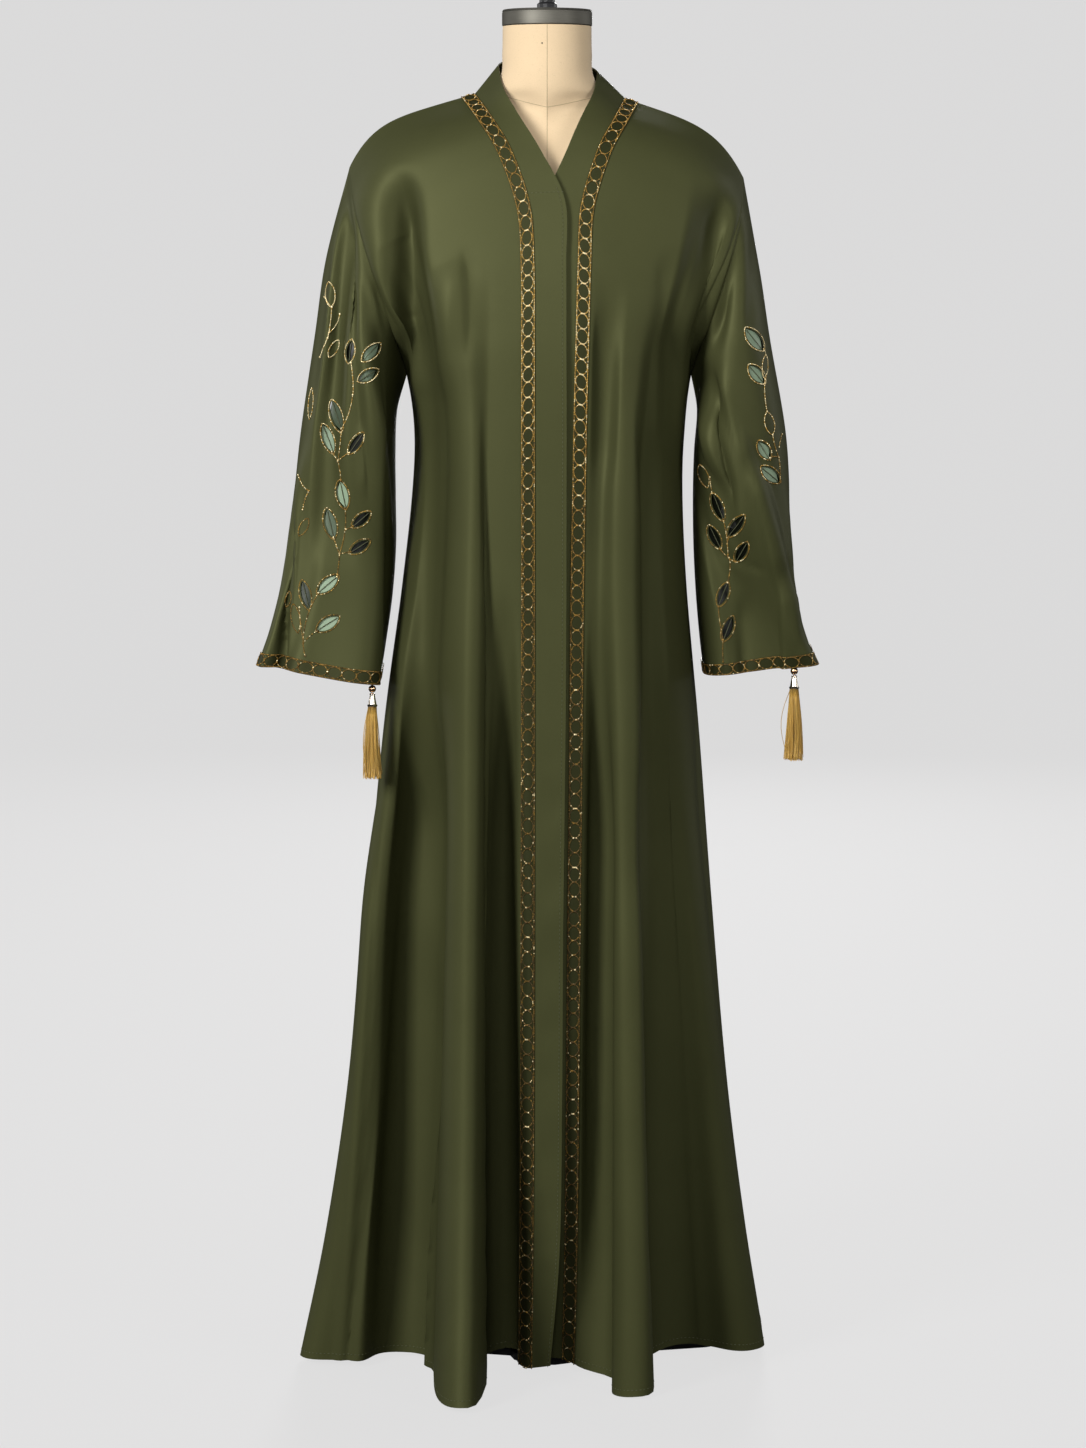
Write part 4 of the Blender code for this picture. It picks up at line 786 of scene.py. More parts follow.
def organza():
    """Thin light green organza, half clear, with noise for its threads; each leaf's colour runs from painted
    sheen to near-black painted shade.
    """
    made = shader("organza", (.36, .47, .36), .38, more={"Alpha": .88, "Specular IOR Level": .25})
    level = weighted(made, noise(made, (1500, 1500, 260), 1.0), .16, read_value(made, "pale"))
    colour_by(made, level, (.10, (.003, .004, .002)), (.55, (.085, .115, .070)), (1.1, (.30, .40, .27)))
    return made


def linen():
    """Unbleached linen in plain weave, with slubs."""
    base = np.array(LINEN_COLOUR)
    made = shader("cream_linen", base, .85, more={"Sheen Weight": .15})
    weave = weighted(made, noise(made, (2200, 2200, 300)), 1, noise(made, (300, 300, 2200)))
    colour_by(made, weave, (.7, base * .90), (1.0, base), (1.3, base * 1.06))
    bump_by(made, weave, .35, .0003)
    return made


def metal(name, colour, roughness, grain, depth):
    """Metal with fine turned or brushed lines."""
    made = shader(name, colour, roughness, 1.0)
    lines = noise(made, grain, 3.0)
    base = np.array(colour)
    colour_by(made, lines, (.3, base * .8), (.7, np.minimum(base * 1.15, 1)))
    gloss_by(made, lines, roughness * .8, roughness * 1.3)
    bump_by(made, lines, .3, depth)
    return made


def black_paint():
    made = shader("black_paint", (.012, .012, .013), .35)
    peel = noise(made, (900, 900, 900))
    bump_by(made, peel, .2, .0001)
    colour_by(made, peel, (.3, (.010, .010, .011)), (.7, (.020, .020, .021)))
    return made


def silk():
    """Glossy gold silk, a little different from strand to strand."""
    made = shader("gold_silk", (.55, .33, .07), .38,
                  more={"Sheen Weight": .3, "Sheen Tint": (.9, .7, .35, 1)})
    colour_by(made, read_value(made, "shade"), (.0, (.30, .155, .022)), (.5, (.52, .31, .060)),
              (1.0, (.72, .48, .13)))
    return made


# Mesh helpers

def add_mesh(name, points, faces, finish, smooth=True, sharp=None):
    mesh = bpy.data.meshes.new(name)
    mesh.from_pydata(np.asarray(points, float).tolist(), [], [tuple(int(c) for c in f) for f in faces])
    mesh.materials.append(finish)
    if smooth:
        mesh.shade_smooth()
    if sharp:
        mesh.set_sharp_from_angle(angle=math.radians(sharp))
    made = bpy.data.objects.new(name, mesh)
    bpy.context.scene.collection.objects.link(made)
    return made


def set_values(piece, name, values):
    """A value at each point, for the materials to read."""
    layer = piece.data.attributes.new(name, "FLOAT", "POINT")
    layer.data.foreach_set("value", np.asarray(values, np.float32))


def grid_faces(rows, cols, around=False):
    """Quads of a grid of points, closed round if asked."""
    last = cols if around else cols - 1
    i, j = np.meshgrid(np.arange(rows - 1), np.arange(last), indexing="ij")
    a = i * cols + j
    b = i * cols + (j + 1) % cols
    return np.stack([a, b, b + cols, a + cols], axis=-1).reshape(-1, 4)


def closed_tube(rows, sides):
    """Faces of a grid that goes round, with a cap at each end."""
    caps = [tuple(range(sides))[::-1], tuple(range((rows - 1) * sides, rows * sides))]
    return grid_faces(rows, sides, around=True).tolist() + caps


def wall_object(name, outer, normals, thick, finish, around=False):
    """Closed sheet of the given thickness inside the outer points."""
    rows, cols = outer.shape[:2]
    inner = outer - normals * thick
    points = np.concatenate([outer.reshape(-1, 3), inner.reshape(-1, 3)])
    half = rows * cols
    front = grid_faces(rows, cols, around)
    if np.sum(np.cross(points[front[:, 1]] - points[front[:, 0]], points[front[:, 2]] - points[front[:, 0]])
              * normals.reshape(-1, 3)[front[:, 0]]) < 0:
        front = front[:, ::-1]
    faces = [tuple(f) for f in front] + [tuple(f[::-1] + half) for f in front]
    counted = {}
    for f in front:
        for k in range(4):
            edge = (int(f[k]), int(f[(k + 1) % 4]))
            if (edge[1], edge[0]) in counted:
                del counted[(edge[1], edge[0])]
            else:
                counted[edge] = True
    for a, b in counted:
        faces.append((b, a, a + half, b + half))
    return add_mesh(name, points, faces, finish, sharp=60)


def pull_in(grid, borders):
    """The grid with some of its borders moved in by half the gap of a seam."""
    moved = grid.copy()
    places = {"first_row": (np.s_[0], np.s_[1]), "last_row": (np.s_[-1], np.s_[-2]),
              "first_column": (np.s_[:, 0], np.s_[:, 1]), "last_column": (np.s_[:, -1], np.s_[:, -2])}
    for border in borders:
        edge, inside = places[border]
        moved[edge] += unit(grid[inside] - grid[edge]) * SEAM_GAP / 2
    return moved


def beads(name, kind, paths):
    """Small round solids along paths: each path is (points, normals) at the beads' own pitch."""
    slot, finish, (long_half, wide_half, high_half), painted_glint_share = BEADS[kind]
    ball = bmesh.new()
    bmesh.ops.create_icosphere(ball, subdivisions=1, radius=1.0)
    unit_points = np.array([tuple(v.co) for v in ball.verts])
    unit_faces = np.array([[v.index for v in f.verts] for f in ball.faces])
    ball.free()
    all_points, all_faces, tones_and_painted_light = [], [], []
    for points, normals in paths:
        if len(points) < 2:
            continue
        ahead = unit(np.gradient(points, axis=0))
        normals = unit(normals - ahead * np.sum(normals * ahead, axis=-1, keepdims=True))
        across = np.cross(normals, ahead)
        # Painted light: beads are painted lighter round one height, darker below another, and some are
        # painted as flashes.
        painted_highlight = np.exp(-((points[:, 2] - PAINTED_HIGHLIGHT_MIDDLE) / PAINTED_HIGHLIGHT_SPAN) ** 2)
        low = np.clip((PAINTED_SHADE_BELOW - points[:, 2]) / PAINTED_SHADE_SPAN, 0, 1)
        level = rng.normal(GLINT_MEAN, GLINT_SPREAD, len(points)) + PAINTED_HIGHLIGHT_RISE * painted_highlight - PAINTED_SHADE_DROP * low
        level = np.clip(level, 0, GLINT_TOP)
        share = painted_glint_share * (.8 + 4.6 * painted_highlight)
        level = np.where(rng.random(len(points)) < share, rng.uniform(.9, 1.0, len(points)), level)
        block = (points[:, None, :] + ahead[:, None, :] * unit_points[None, :, :1] * long_half
                 + across[:, None, :] * unit_points[None, :, 1:2] * wide_half
                 + normals[:, None, :] * (unit_points[None, :, 2:] * high_half + high_half * BEAD_LIFT))
        start = sum(len(p) for p in all_points)
        offsets = start + np.arange(len(points))[:, None, None] * len(unit_points)
        all_points.append(block.reshape(-1, 3))
        all_faces.append((unit_faces[None] + offsets).reshape(-1, 3))
        tones_and_painted_light.append(np.repeat(level, len(unit_points)))
    made = add_mesh(name, np.concatenate(all_points), np.concatenate(all_faces), MATERIALS[finish])
    set_values(made, "tone_and_painted_light", np.concatenate(tones_and_painted_light))
    finish_piece(made, slot)
    return made


def resample(points, normals, pitch):
    """The path at even steps of about the pitch."""
    arc = arc_length(points)
    count = max(2, int(round(arc[-1] / pitch)) + 1)
    at = np.linspace(0, arc[-1], count)
    take = lambda values: np.stack([np.interp(at, arc, values[:, k]) for k in range(3)], axis=-1)
    return take(points), unit(take(normals))


def finish_piece(piece, slot, *nodes):
    """Gives a piece its body and hides the nodes that it replaces; its slot is not used."""
    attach(piece, BODY)
    if nodes:
        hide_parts(*nodes)


MATERIALS = {
    "crepe": crepe("olive_crepe", 1.0),
    "trim": crepe("trim_crepe", .42),
    "beads": bead_metal(),
    "organza": organza(),
    "linen": linen(),
    # The brushed steel's colour is darker than bare steel: painted shade.
    "steel": metal("brushed_steel", (.15, .143, .122), .55, (60, 60, 4000), .00003),
    "paint": black_paint(),
    "silk": silk(),
    "gold": metal("rose_gold", (.80, .50, .30), .18, (400, 400, 400), .00001),
    "gilt": metal("pale_gilt", (.86, .78, .66), .14, (900, 900, 60), .00001),
    "thread": shader("olive_thread", (.075, .080, .035), .6),
    "seam": shader("linen_seam", (.42, .33, .20), .9),
}


# Garment

def build_cloth():
    """Panels, bands and sleeves; returns the grids that the bead work follows."""
    fronts = {side: front_grid(side) for side in ("left", "right")}
    halves = {side: back_half(side, fronts[side]) for side in fronts}
    back = np.concatenate([halves["left"][:, ::-1], halves["right"][:, 1:]], axis=1)
    join = int(np.searchsorted(ROWS[:, 0], JOIN_V))
    neckband = neckband_grid(fronts, back, join)
    sleeves = {side: sleeve_grid(side, fronts[side], halves[side][:, -1]) for side in fronts}
    plackets = {side: band_between(edge_points(side), fronts[side][:, 0])[join:] for side in fronts}
    for side in fronts:
        creased = add_creases("front_" + side, fronts[side], grid_normals(fronts[side]))
        ease = smooth((np.arange(fronts[side].shape[1]) - TRIM_COLUMNS) / EASE_COLUMNS)[None, :, None]
        ease = ease * smooth((1 - np.linspace(0, 1, fronts[side].shape[1])) / SIDE_FADE)[None, :, None]
        fronts[side] = fronts[side] + (creased - fronts[side]) * ease
    plackets["left"] = add_creases("placket_left", plackets["left"], grid_normals(plackets["left"]))
    creased = add_creases("back", back, grid_normals(back), 1)
    ease = smooth((1 - np.abs(np.linspace(-1, 1, back.shape[1]))) / BACK_FADE)[None, :, None]
    back = back + (creased - back) * ease
    sides = ("first_column", "last_column")
    panels = {
        "front_left": (fronts["left"], ("first_row",) + sides, WALL),
        "front_right": (fronts["right"], ("first_row",) + sides, WALL),
        "back": (back, ("first_row",) + sides, WALL),
        "neckband": (neckband, ("first_row", "last_row", "last_column"), BAND_WALL),
        "placket_left": (plackets["left"], ("first_row", "last_column"), BAND_WALL),
        "placket_right": (plackets["right"], ("first_row", "last_column"), BAND_WALL),
    }
    for name, (grid, borders, thick) in panels.items():
        normals = grid_normals(grid)
        piece = wall_object("cloth_" + name, pull_in(grid, borders), normals, thick, MATERIALS["crepe"])
        finish_piece(piece, "crepe", name)
    for side in fronts:
        sleeves[side] = build_sleeve(side, sleeves[side])
    return fronts, back, plackets, sleeves


def leaf_points(x, z, lean, length, width):
    """Outline of a pointed leaf in the XZ plane, from its base round and back."""
    angle = np.linspace(0, np.pi, LEAF_STEPS + 1)
    half = np.stack([width / 2 * np.sin(angle) ** 1.5, -length / 2 * np.cos(angle)], axis=-1)
    outline = np.concatenate([half[:-1], (half * [-1, 1])[::-1][:-1]])
    c, s = math.cos(math.radians(lean)), math.sin(math.radians(lean))
    across, up = outline.T
    return np.stack([x + across * c + up * s, z - across * s + up * c], axis=-1)


def build_sleeve(side, grid):
    """A sleeve in two halves with its cut leaves, organza and bead work."""
    normals = grid_normals(grid, around=True)
    down = smooth(np.linspace(0, 1, grid.shape[0]) / ARMHOLE_FADE)[:, None, None]
    for half, toward in (("front", -1), ("back", 1)):
        grid = grid + (add_creases(f"sleeve_{side}_{half}", grid, normals, toward) - grid) * down
    normals = grid_normals(grid, around=True)
    closed = np.concatenate([grid, grid[:, :1]], axis=1)
    closed_normals = np.concatenate([normals, normals[:, :1]], axis=1)
    tree = BVHTree.FromPolygons(closed.reshape(-1, 3).tolist(),
                                grid_faces(closed.shape[0], closed.shape[1]).tolist())
    bead_paths = []
    for half, columns in (("front", slice(0, ARM_ROWS + 1)), ("back", slice(ARM_ROWS, None))):
        name = f"sleeve_{side}_{half}"
        sub = closed[:, columns]
        outer = pull_in(sub, ("first_row", "first_column", "last_column"))
        piece = wall_object("cloth_" + name, outer, closed_normals[:, columns], WALL, MATERIALS["crepe"])
        toward = -1 if half == "front" else 1
        leaves = LEAVES[side, half]
        cut_leaves(piece, leaves, toward)
        finish_piece(piece, "crepe", name)
        patches = build_organza(f"organza_{side}_{half}", leaves, toward, tree)
        loops = [leaf_points(x, z, lean, length + LEAF_EDGE_LONG, width + LEAF_EDGE_WIDE)
                 for x, z, lean, length, width, _ in zip(*leaves.values())]
        loops += [leaf_points(*row) for row in zip(*OUTLINES[side, half].values())]
        for loop in loops:
            bead_paths.append(on_cloth(np.concatenate([loop, loop[:1]]), toward, tree))
        for row in zip(*STEMS[side, half].values()):
            bead_paths.append(on_cloth(curve_points(row, 20), toward, tree))
    bead_paths = [resample(points, normals, BEAD_PITCH) for points, normals in bead_paths if len(points) > 3]
    beads(f"leaf_beads_{side}", "leaf_bead", bead_paths)
    ends = [(points[[0, -1]] + up[[0, -1]] * .0002, up[[0, -1]]) for points, up in bead_paths]
    beads(f"leaf_sequins_{side}", "leaf_sequin", ends)
    return grid


def on_cloth(flat, toward, tree):
    """Points of the XZ plane thrown onto the sleeve from the front (-1) or from behind (1)."""
    points, normals = [], []
    for x, z in flat:
        hit, normal, _, _ = tree.ray_cast(Vector((x, toward * .4, z)), Vector((0, -toward, 0)))
        if hit is None:
            continue
        if normal.y * toward < 0:
            normal = -normal
        points.append(tuple(hit))
        normals.append(tuple(normal))
    return np.array(points).reshape(-1, 3), np.array(normals).reshape(-1, 3)


def cut_leaves(piece, leaves, toward):
    """Cuts the leaves through one half of a sleeve."""
    near, far = CUT_DEPTHS[toward]
    points, faces = [], []
    for x, z, lean, length, width, _ in zip(*leaves.values()):
        outline = leaf_points(x, z, lean, length, width)
        first, count = len(points), len(outline)
        points += [(px, near, pz) for px, pz in outline] + [(px, far, pz) for px, pz in outline]
        faces.append(tuple(range(first, first + count)))
        faces.append(tuple(range(first + 2 * count - 1, first + count - 1, -1)))
        for k in range(count):
            n = (k + 1) % count
            faces.append((first + n, first + k, first + count + k, first + count + n))
    cutter = add_mesh(piece.name + "_cutter", points, faces, MATERIALS["crepe"], smooth=False)
    cut = piece.modifiers.new("leaves", "BOOLEAN")
    cut.operation = "DIFFERENCE"
    cut.object = cutter
    bpy.context.view_layer.update()
    result = bpy.data.meshes.new_from_object(piece.evaluated_get(bpy.context.evaluated_depsgraph_get()))
    piece.modifiers.clear()
    piece.data = result
    bpy.data.objects.remove(cutter)


def build_organza(name, leaves, toward, tree):
    """A patch of organza behind each opening, with a midrib."""
    points, faces, painted_lights, ribs = [], [], [], []
    for x, z, lean, length, width, pale in zip(*leaves.values()):
        c, s = math.cos(math.radians(lean)), math.sin(math.radians(lean))
        flat = []
        for i in range(ORGANZA_ROWS + 1):
            down = -length / 2 + length * i / ORGANZA_ROWS
            reach = (width / 2 + ORGANZA_MARGIN) * max(math.sin(math.pi * i / ORGANZA_ROWS), .08)
            for j in range(ORGANZA_COLUMNS + 1):
                side = -reach + 2 * reach * j / ORGANZA_COLUMNS
                flat.append((x + side * c + down * s, z - side * s + down * c))
        on, normals = on_cloth(flat, toward, tree)
        if len(on) < len(flat):
            continue
        sunk = on - normals * (WALL + ORGANZA_SINK)
        first = len(points)
        points += sunk.tolist()
        faces += (grid_faces(ORGANZA_ROWS + 1, ORGANZA_COLUMNS + 1) + first).tolist()
        # The organza's colour carries each leaf's painted light: painted sheen on some leaves, painted shade
        # on others.
        painted_lights += [pale] * len(sunk)
        rib = np.array([(x + length * d * s, z + length * d * c) for d in np.linspace(*MIDRIB_REACH, 12)])
        ribs.append(resample(*on_cloth(rib, toward, tree), MIDRIB_PITCH))
    piece = add_mesh(name, points, faces, MATERIALS["organza"])
    set_values(piece, "pale", painted_lights)
    finish_piece(piece, "crepe")
    ribs = [(p - n * (WALL * .8), n) for p, n in ribs]
    return piece, beads("midribs_" + name, "midrib", ribs)


def strip_paths(grid, normals):
    """Bead lines over a strip: two borders, two crossing waves that make rings, and their knots."""
    middle = grid[:, grid.shape[1] // 2]
    arc = arc_length(middle)
    rings = max(2, round(arc[-1] / RING_PITCH))
    fine = np.linspace(0, arc[-1], rings * RING_STEPS + 1)
    place = np.interp(fine, arc, np.arange(len(arc)))
    width = np.linalg.norm(grid[:, -1] - grid[:, 0], axis=-1).mean()

    def line(offset):
        share = np.clip(0.5 + offset / width, 0, 1) * np.ones(len(fine)) * (grid.shape[1] - 1)
        i, j = (np.minimum(part.astype(int), count - 2) for part, count in zip((place, share), grid.shape))
        a, b = (place - i)[:, None], (share - j)[:, None]
        mixed = [(values[i, j] * (1 - b) + values[i, j + 1] * b) * (1 - a)
                 + (values[i + 1, j] * (1 - b) + values[i + 1, j + 1] * b) * a for values in (grid, normals)]
        return mixed[0], unit(mixed[1])

    phase = np.pi * fine / arc[-1] * rings
    wave = RING_HALF * np.sign(np.sin(phase)) * np.abs(np.sin(phase)) ** RING_POWER
    border = width / 2 - BORDER_INSET
    lines = [resample(*line(offset), BEAD_PITCH) for offset in (border, -border, wave, -wave)]
    knots = []
    for offset in (-KNOT_REACH, 0, KNOT_REACH):
        points, up = line(offset)
        knots.append((points[::RING_STEPS], up[::RING_STEPS]))
    return lines, knots


def build_trim(name, grid, normals):
    """Flat strip with its beads on the outer points of a panel, its rows along the strip."""
    low = grid + normals * TRIM_LIFT
    high = low + normals * TRIM_THICK
    wall = wall_object("strip_" + name, high, normals, TRIM_THICK, MATERIALS["trim"])
    finish_piece(wall, "bead_trim", name)
    lines, knots = strip_paths(high, normals)
    work = beads("beads_" + name, "trim_bead", lines)
    sparkle = beads("sequins_" + name, "trim_sequin", knots)


def stitches(name, points, normals):
    """A row of single stitches along a path."""
    beads(name, "stitch", [resample(points, normals, STITCH_PITCH)])


def build_garment():
    """The cloth with its trims and stitches."""
    fronts, back, plackets, sleeves = build_cloth()
    for side, grid in fronts.items():
        normals = grid_normals(grid)
        strip = np.s_[:, :TRIM_COLUMNS + 1]
        build_trim(f"front_trim_{side}", grid[strip], normals[strip])
    for side, grid in sleeves.items():
        normals = grid_normals(grid, around=True)
        low = SLEEVE_ROWS - CUFF_TRIM_ROWS
        strip = np.concatenate([grid[low:], grid[low:, :1]], axis=1)[::-1]
        strip_normals = np.concatenate([normals[low:], normals[low:, :1]], axis=1)[::-1]
        build_trim(f"cuff_trim_{side}", strip.transpose(1, 0, 2), strip_normals.transpose(1, 0, 2))
    build_hem(fronts, back)
    build_placket_stitches(plackets["left"])


def build_hem(fronts, back):
    """A row of stitches above each hem."""
    for name, grid in (("left", fronts["left"]), ("right", fronts["right"]), ("back", back)):
        normals = grid_normals(grid)
        down = unit(grid[-2] - grid[-1])
        line = grid[-1] + down * HEM_HEIGHT
        stitches("hem_stitches_" + name, line, normals[-2])


def build_placket_stitches(grid):
    normals = grid_normals(grid)
    stitches("placket_stitches", grid[:, 1], normals[:, 1])
    stitches("placket_join", grid[1], normals[1])


def turned(name, profile, finish, centre=(0, 0), sides=96):
    """A turned solid: its profile is (radius, height) from the foot to the top."""
    points = []
    angles = 2 * np.pi * np.arange(sides) / sides
    for radius, z in profile:
        radius = max(radius, 1e-5)
        points += [(centre[0] + radius * math.cos(a), centre[1] + radius * math.sin(a), z) for a in angles]
    return add_mesh(name, points, closed_tube(len(profile), sides), finish, sharp=40)


def build_tassel(side):
    """Two beads, a gilt cap and a bunch of silk strands under each cuff."""
    low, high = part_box(f"tassel_{side}_bead")
    place = ((low.x + high.x) / 2, (low.y + high.y) / 2)
    radius = (high.z - low.z) / 2
    middle = (high.z + low.z) / 2
    arcs = np.linspace(0, np.pi, 13)
    ball = [(radius * math.sin(a), middle - radius * math.cos(a)) for a in arcs]
    bead = turned(f"bead_{side}", ball, MATERIALS["gold"], place, 24)
    finish_piece(bead, "gold_bead", f"tassel_{side}_bead")
    small = radius * SMALL_BEAD
    ball = [(small * math.sin(a), middle + radius + small * (.85 - math.cos(a))) for a in arcs]
    finish_piece(turned(f"bead_small_{side}", ball, MATERIALS["gold"], place, 20), "gold_bead")
    low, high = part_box(f"tassel_{side}_cap")
    wide = (high.x - low.x) / 2
    cone = [(wide * share, low.z + up) for share, up in CAP_FOOT]
    cone += [(wide * share, high.z - down) for share, down in CAP_TOP]
    cap = turned(f"cap_{side}", cone, MATERIALS["gilt"], place, 32)
    finish_piece(cap, "tassel_cap", f"tassel_{side}_cap")
    build_silk(side, *place)


def build_silk(side, x, y):
    """Strands that leave the cap close together and spread towards their uneven ends."""
    low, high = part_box(f"tassel_{side}_silk")
    top, foot = high.z, low.z
    spread = (high.x - low.x) / 2 * .95
    points, faces, shades = [], [], []
    for k in range(STRANDS):
        share = math.sqrt((k + .5) / STRANDS)
        turn = k * STRAND_TURN + rng.normal(0, .05)
        reach = share * spread * rng.uniform(.90, 1.04)
        length = (top - foot) * (1 - min(abs(rng.normal(0, .045)) + .002, .16))
        bow = rng.normal(0, .0011) * (1 + 2.2 * (k % 29 == 0))
        thick = rng.uniform(.00034, .00050)
        start = len(points)
        for i in range(STRAND_STEPS + 1):
            s = i / STRAND_STEPS
            root = SILK_ROOT * share
            out = root + (reach - root) * s ** 1.25 + bow * math.sin(math.pi * s)
            swing = turn + .10 * bow / .0009 * s
            cx, cy, cz = x + out * math.cos(swing), y + out * math.sin(swing), top - length * s
            r = thick * (1 - .25 * s)
            for a in np.arange(STRAND_SIDES) * 2 * np.pi / STRAND_SIDES:
                points.append((cx + r * math.cos(a), cy + r * math.sin(a), cz))
        strand = grid_faces(STRAND_STEPS + 1, STRAND_SIDES, around=True) + start
        last = start + STRAND_STEPS * STRAND_SIDES
        faces += strand.tolist()
        faces.append(tuple(range(start, start + STRAND_SIDES)))
        faces.append(tuple(range(last, last + STRAND_SIDES))[::-1])
        shades += [float(np.clip(rng.normal(.5, .22), 0, 1))] * (last + STRAND_SIDES - start)
    piece = add_mesh(f"silk_{side}", points, faces, MATERIALS["silk"])
    set_values(piece, "shade", shades)
    finish_piece(piece, "gold_silk", f"tassel_{side}_silk")


# Sections of the form: half width, depth in front and behind, power of the corners, slope of the shoulders
TORSO = table("v half front back power tilt", """
    .742 .128 .082 .1 2.2 0; .752 .142 .094 .112 2.2 0; .79 .15 .101 .118 2.2 0; .86 .15 .104 .118 2.2 0;
    .93 .137 .098 .106 2.2 0; .99 .123 .09 .094 2.2 0; 1.04 .117 .088 .088 2.2 0; 1.09 .121 .096 .09 2.2 0;
    1.15 .131 .11 .095 2.2 0; 1.2 .136 .113 .097 2.2 .004; 1.25 .142 .105 .097 2.2 .008;
    1.3 .154 .09 .093 2.2 .014; 1.334 .17 .076 .082 2.1 .02; 1.357 .178 .064 .07 2 .024;
    1.372 .1785 .054 .058 1.8 .024; 1.3828 .172 .048 .052 1.5 .024; 1.3919 .156 .046 .049 1.3 .024;
    1.401 .133 .046 .048 1.1 .024; 1.4085 .104 .047 .049 1.1 .024; 1.416 .077 .049 .051 1.3 .022;
    1.428 .06 .051 .053 1.8 .014; 1.442 .0515 .0515 .053 2 .004; 1.468 .0493 .05 .051 2 0;
    1.4968 .0488 .0488 .0488 2 0
""")


# Seams and pin of the form: heights, and for the pin an angle and a height
TORSO_SIDES = 96
SHOULDER_FOOT = 1.360
SHOULDER_TOP = 1.364
MIDDLE_SEAM = (1.34, 1.4960)
NECK_SEAM = 1.4215
NECK_SEAM_DIP = 0.0138
PIN_PLACE = (-1.6846, 1.4765)


def torso_point(angle, z):
    """Points of the form at these angles and this height of its rings."""
    half, front, back, power, tilt = (along(TORSO, name, z) for name in list(TORSO)[1:])
    across = rounded(np.cos(angle), power)
    deep = rounded(np.sin(angle), power)
    reach = np.where(deep > 0, back, front)
    return np.stack([half * across, reach * deep, z - half * across * tilt], axis=-1)


def build_form():
    """Torso and neck in linen with their seams and pin, and the steel cap."""
    angle = 2 * np.pi * np.arange(TORSO_SIDES) / TORSO_SIDES
    foot, top = TORSO["v"][[0, -1]]
    heights = [np.linspace(foot, SHOULDER_FOOT, 60), np.linspace(SHOULDER_TOP, top, 70)]
    heights = np.concatenate(heights)
    grid = np.stack([torso_point(angle, np.full(TORSO_SIDES, z)) for z in heights])
    faces = closed_tube(len(heights), TORSO_SIDES)
    torso = add_mesh("linen_torso", grid.reshape(-1, 3), faces, MATERIALS["linen"], sharp=60)
    finish_piece(torso, "linen", "form_torso")
    for name, middle in (("seam_front", -np.pi / 2), ("seam_back", np.pi / 2)):
        build_seam(name, np.full(60, middle), np.linspace(*MIDDLE_SEAM, 60))
    turn = np.linspace(0, 2 * np.pi, 121)
    build_seam("seam_neck", turn, NECK_SEAM - NECK_SEAM_DIP * np.clip(-np.sin(turn), 0, 1) ** 4)
    head = torso_point(*np.array([PIN_PLACE]).T)[0]
    away = np.array([-.11, -.99, 0])
    beads("neck_pin", "pin", [(np.array([head, head + [.0001, 0, 0]]), np.array([away, away]))])
    low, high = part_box("neck_cap")
    wide = (high.x - low.x) / 2
    disc = [
        (0, low.z), (wide - .0008, low.z), (wide, low.z + .0008), (wide, high.z - .0035),
        (wide - .0004, high.z - .0028), (wide - .0004, high.z - .0024), (wide, high.z - .0018),
        (wide - .0012, high.z), (0, high.z),
    ]
    finish_piece(turned("steel_cap", disc, MATERIALS["steel"]), "steel", "neck_cap")


def build_seam(name, angle, heights):
    """A fine seam line in the linen."""
    points = np.stack([torso_point(np.array([a]), np.array([z]))[0] for a, z in zip(angle, heights)])
    normals = unit(points * np.array([1, 1, 0]))
    at, up = resample(points, normals, SEAM_PITCH)
    beads(name, "seam", [(at - up * .0002, up)])


def build_stand():
    """The stand keeps its own solids, with finer finishes."""
    for node, finish in (("stand_pole", "steel"), ("stand_base", "paint"), ("neck_knob", "paint")):
        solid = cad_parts[node]
        if not solid.material_slots:
            solid.data.materials.append(MATERIALS[finish])
        for slot in solid.material_slots:
            slot.material = MATERIALS[finish]


# Studio

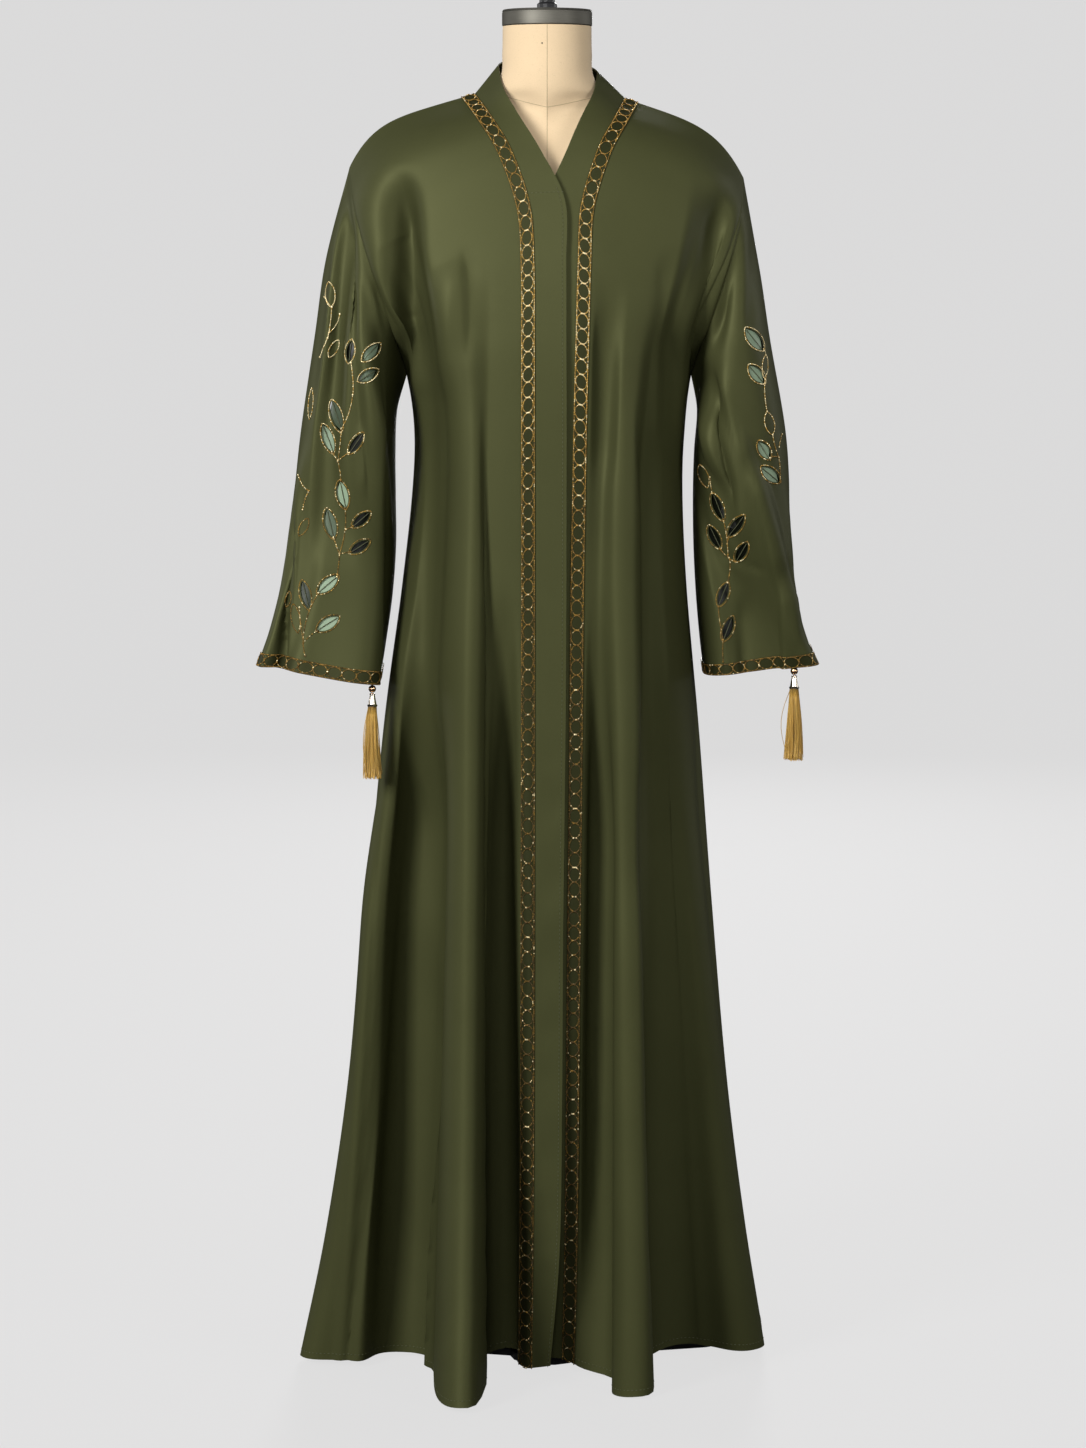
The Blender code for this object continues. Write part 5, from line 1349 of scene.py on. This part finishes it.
def build_studio():
    """Camera, world, floor sweep and lights."""
    camera = bpy.data.cameras.new("camera")
    camera.lens = CAMERA_LENS
    camera.sensor_fit = "VERTICAL"
    camera.sensor_height = CAMERA_FILM
    camera.clip_end = 60
    eye = bpy.data.objects.new("camera", camera)
    eye.location = CAMERA_PLACE
    eye.rotation_euler = (math.radians(90 - CAMERA_DOWN), 0, 0)
    bpy.context.scene.collection.objects.link(eye)
    bpy.context.scene.camera = eye
    bpy.context.scene.view_settings.view_transform = "Standard"

    world = bpy.data.worlds.new("studio")
    world.use_nodes = True
    background = world.node_tree.nodes["Background"]
    background.inputs["Color"].default_value = (.97, .98, 1.0, 1)
    background.inputs["Strength"].default_value = .045
    bpy.context.scene.world = world

    floor_finish = shader("studio_floor", (.03, .0298, .0298), .9, more={
        "Emission Color": (1, .995, .995, 1), "Emission Strength": .700, "Specular IOR Level": .1,
    })
    bend = np.linspace(0, math.pi / 2, 16)
    profile = [(.001, 0)] + [(SWEEP_RADIUS - SWEEP_BEND * (1 - math.sin(a)), SWEEP_BEND * (1 - math.cos(a)))
                             for a in bend] + [(SWEEP_RADIUS, SWEEP_HEIGHT)]
    turns = np.linspace(0, 2 * math.pi, 96, endpoint=False)
    points = [(r * math.cos(a), r * math.sin(a), z) for r, z in profile for a in turns]
    faces = grid_faces(len(profile), len(turns), around=True)
    floor = add_mesh("studio_sweep", points, faces, floor_finish)
    floor.visible_diffuse = False
    floor.visible_glossy = False

    for name, (place, size, power) in LIGHTS.items():
        add_light(name, place, size, power)


def add_light(name, place, size, power):
    light = bpy.data.lights.new(name, "AREA")
    light.shape = "RECTANGLE"
    light.size, light.size_y = size
    light.energy = power
    made = bpy.data.objects.new(name, light)
    made.location = place
    made.rotation_euler = (LIGHT_TARGET - Vector(place)).to_track_quat("-Z", "Y").to_euler()
    made.visible_camera = False
    bpy.context.scene.collection.objects.link(made)


build_studio()
build_garment()
for side in ("left", "right"):
    build_tassel(side)
build_form()
build_stand()
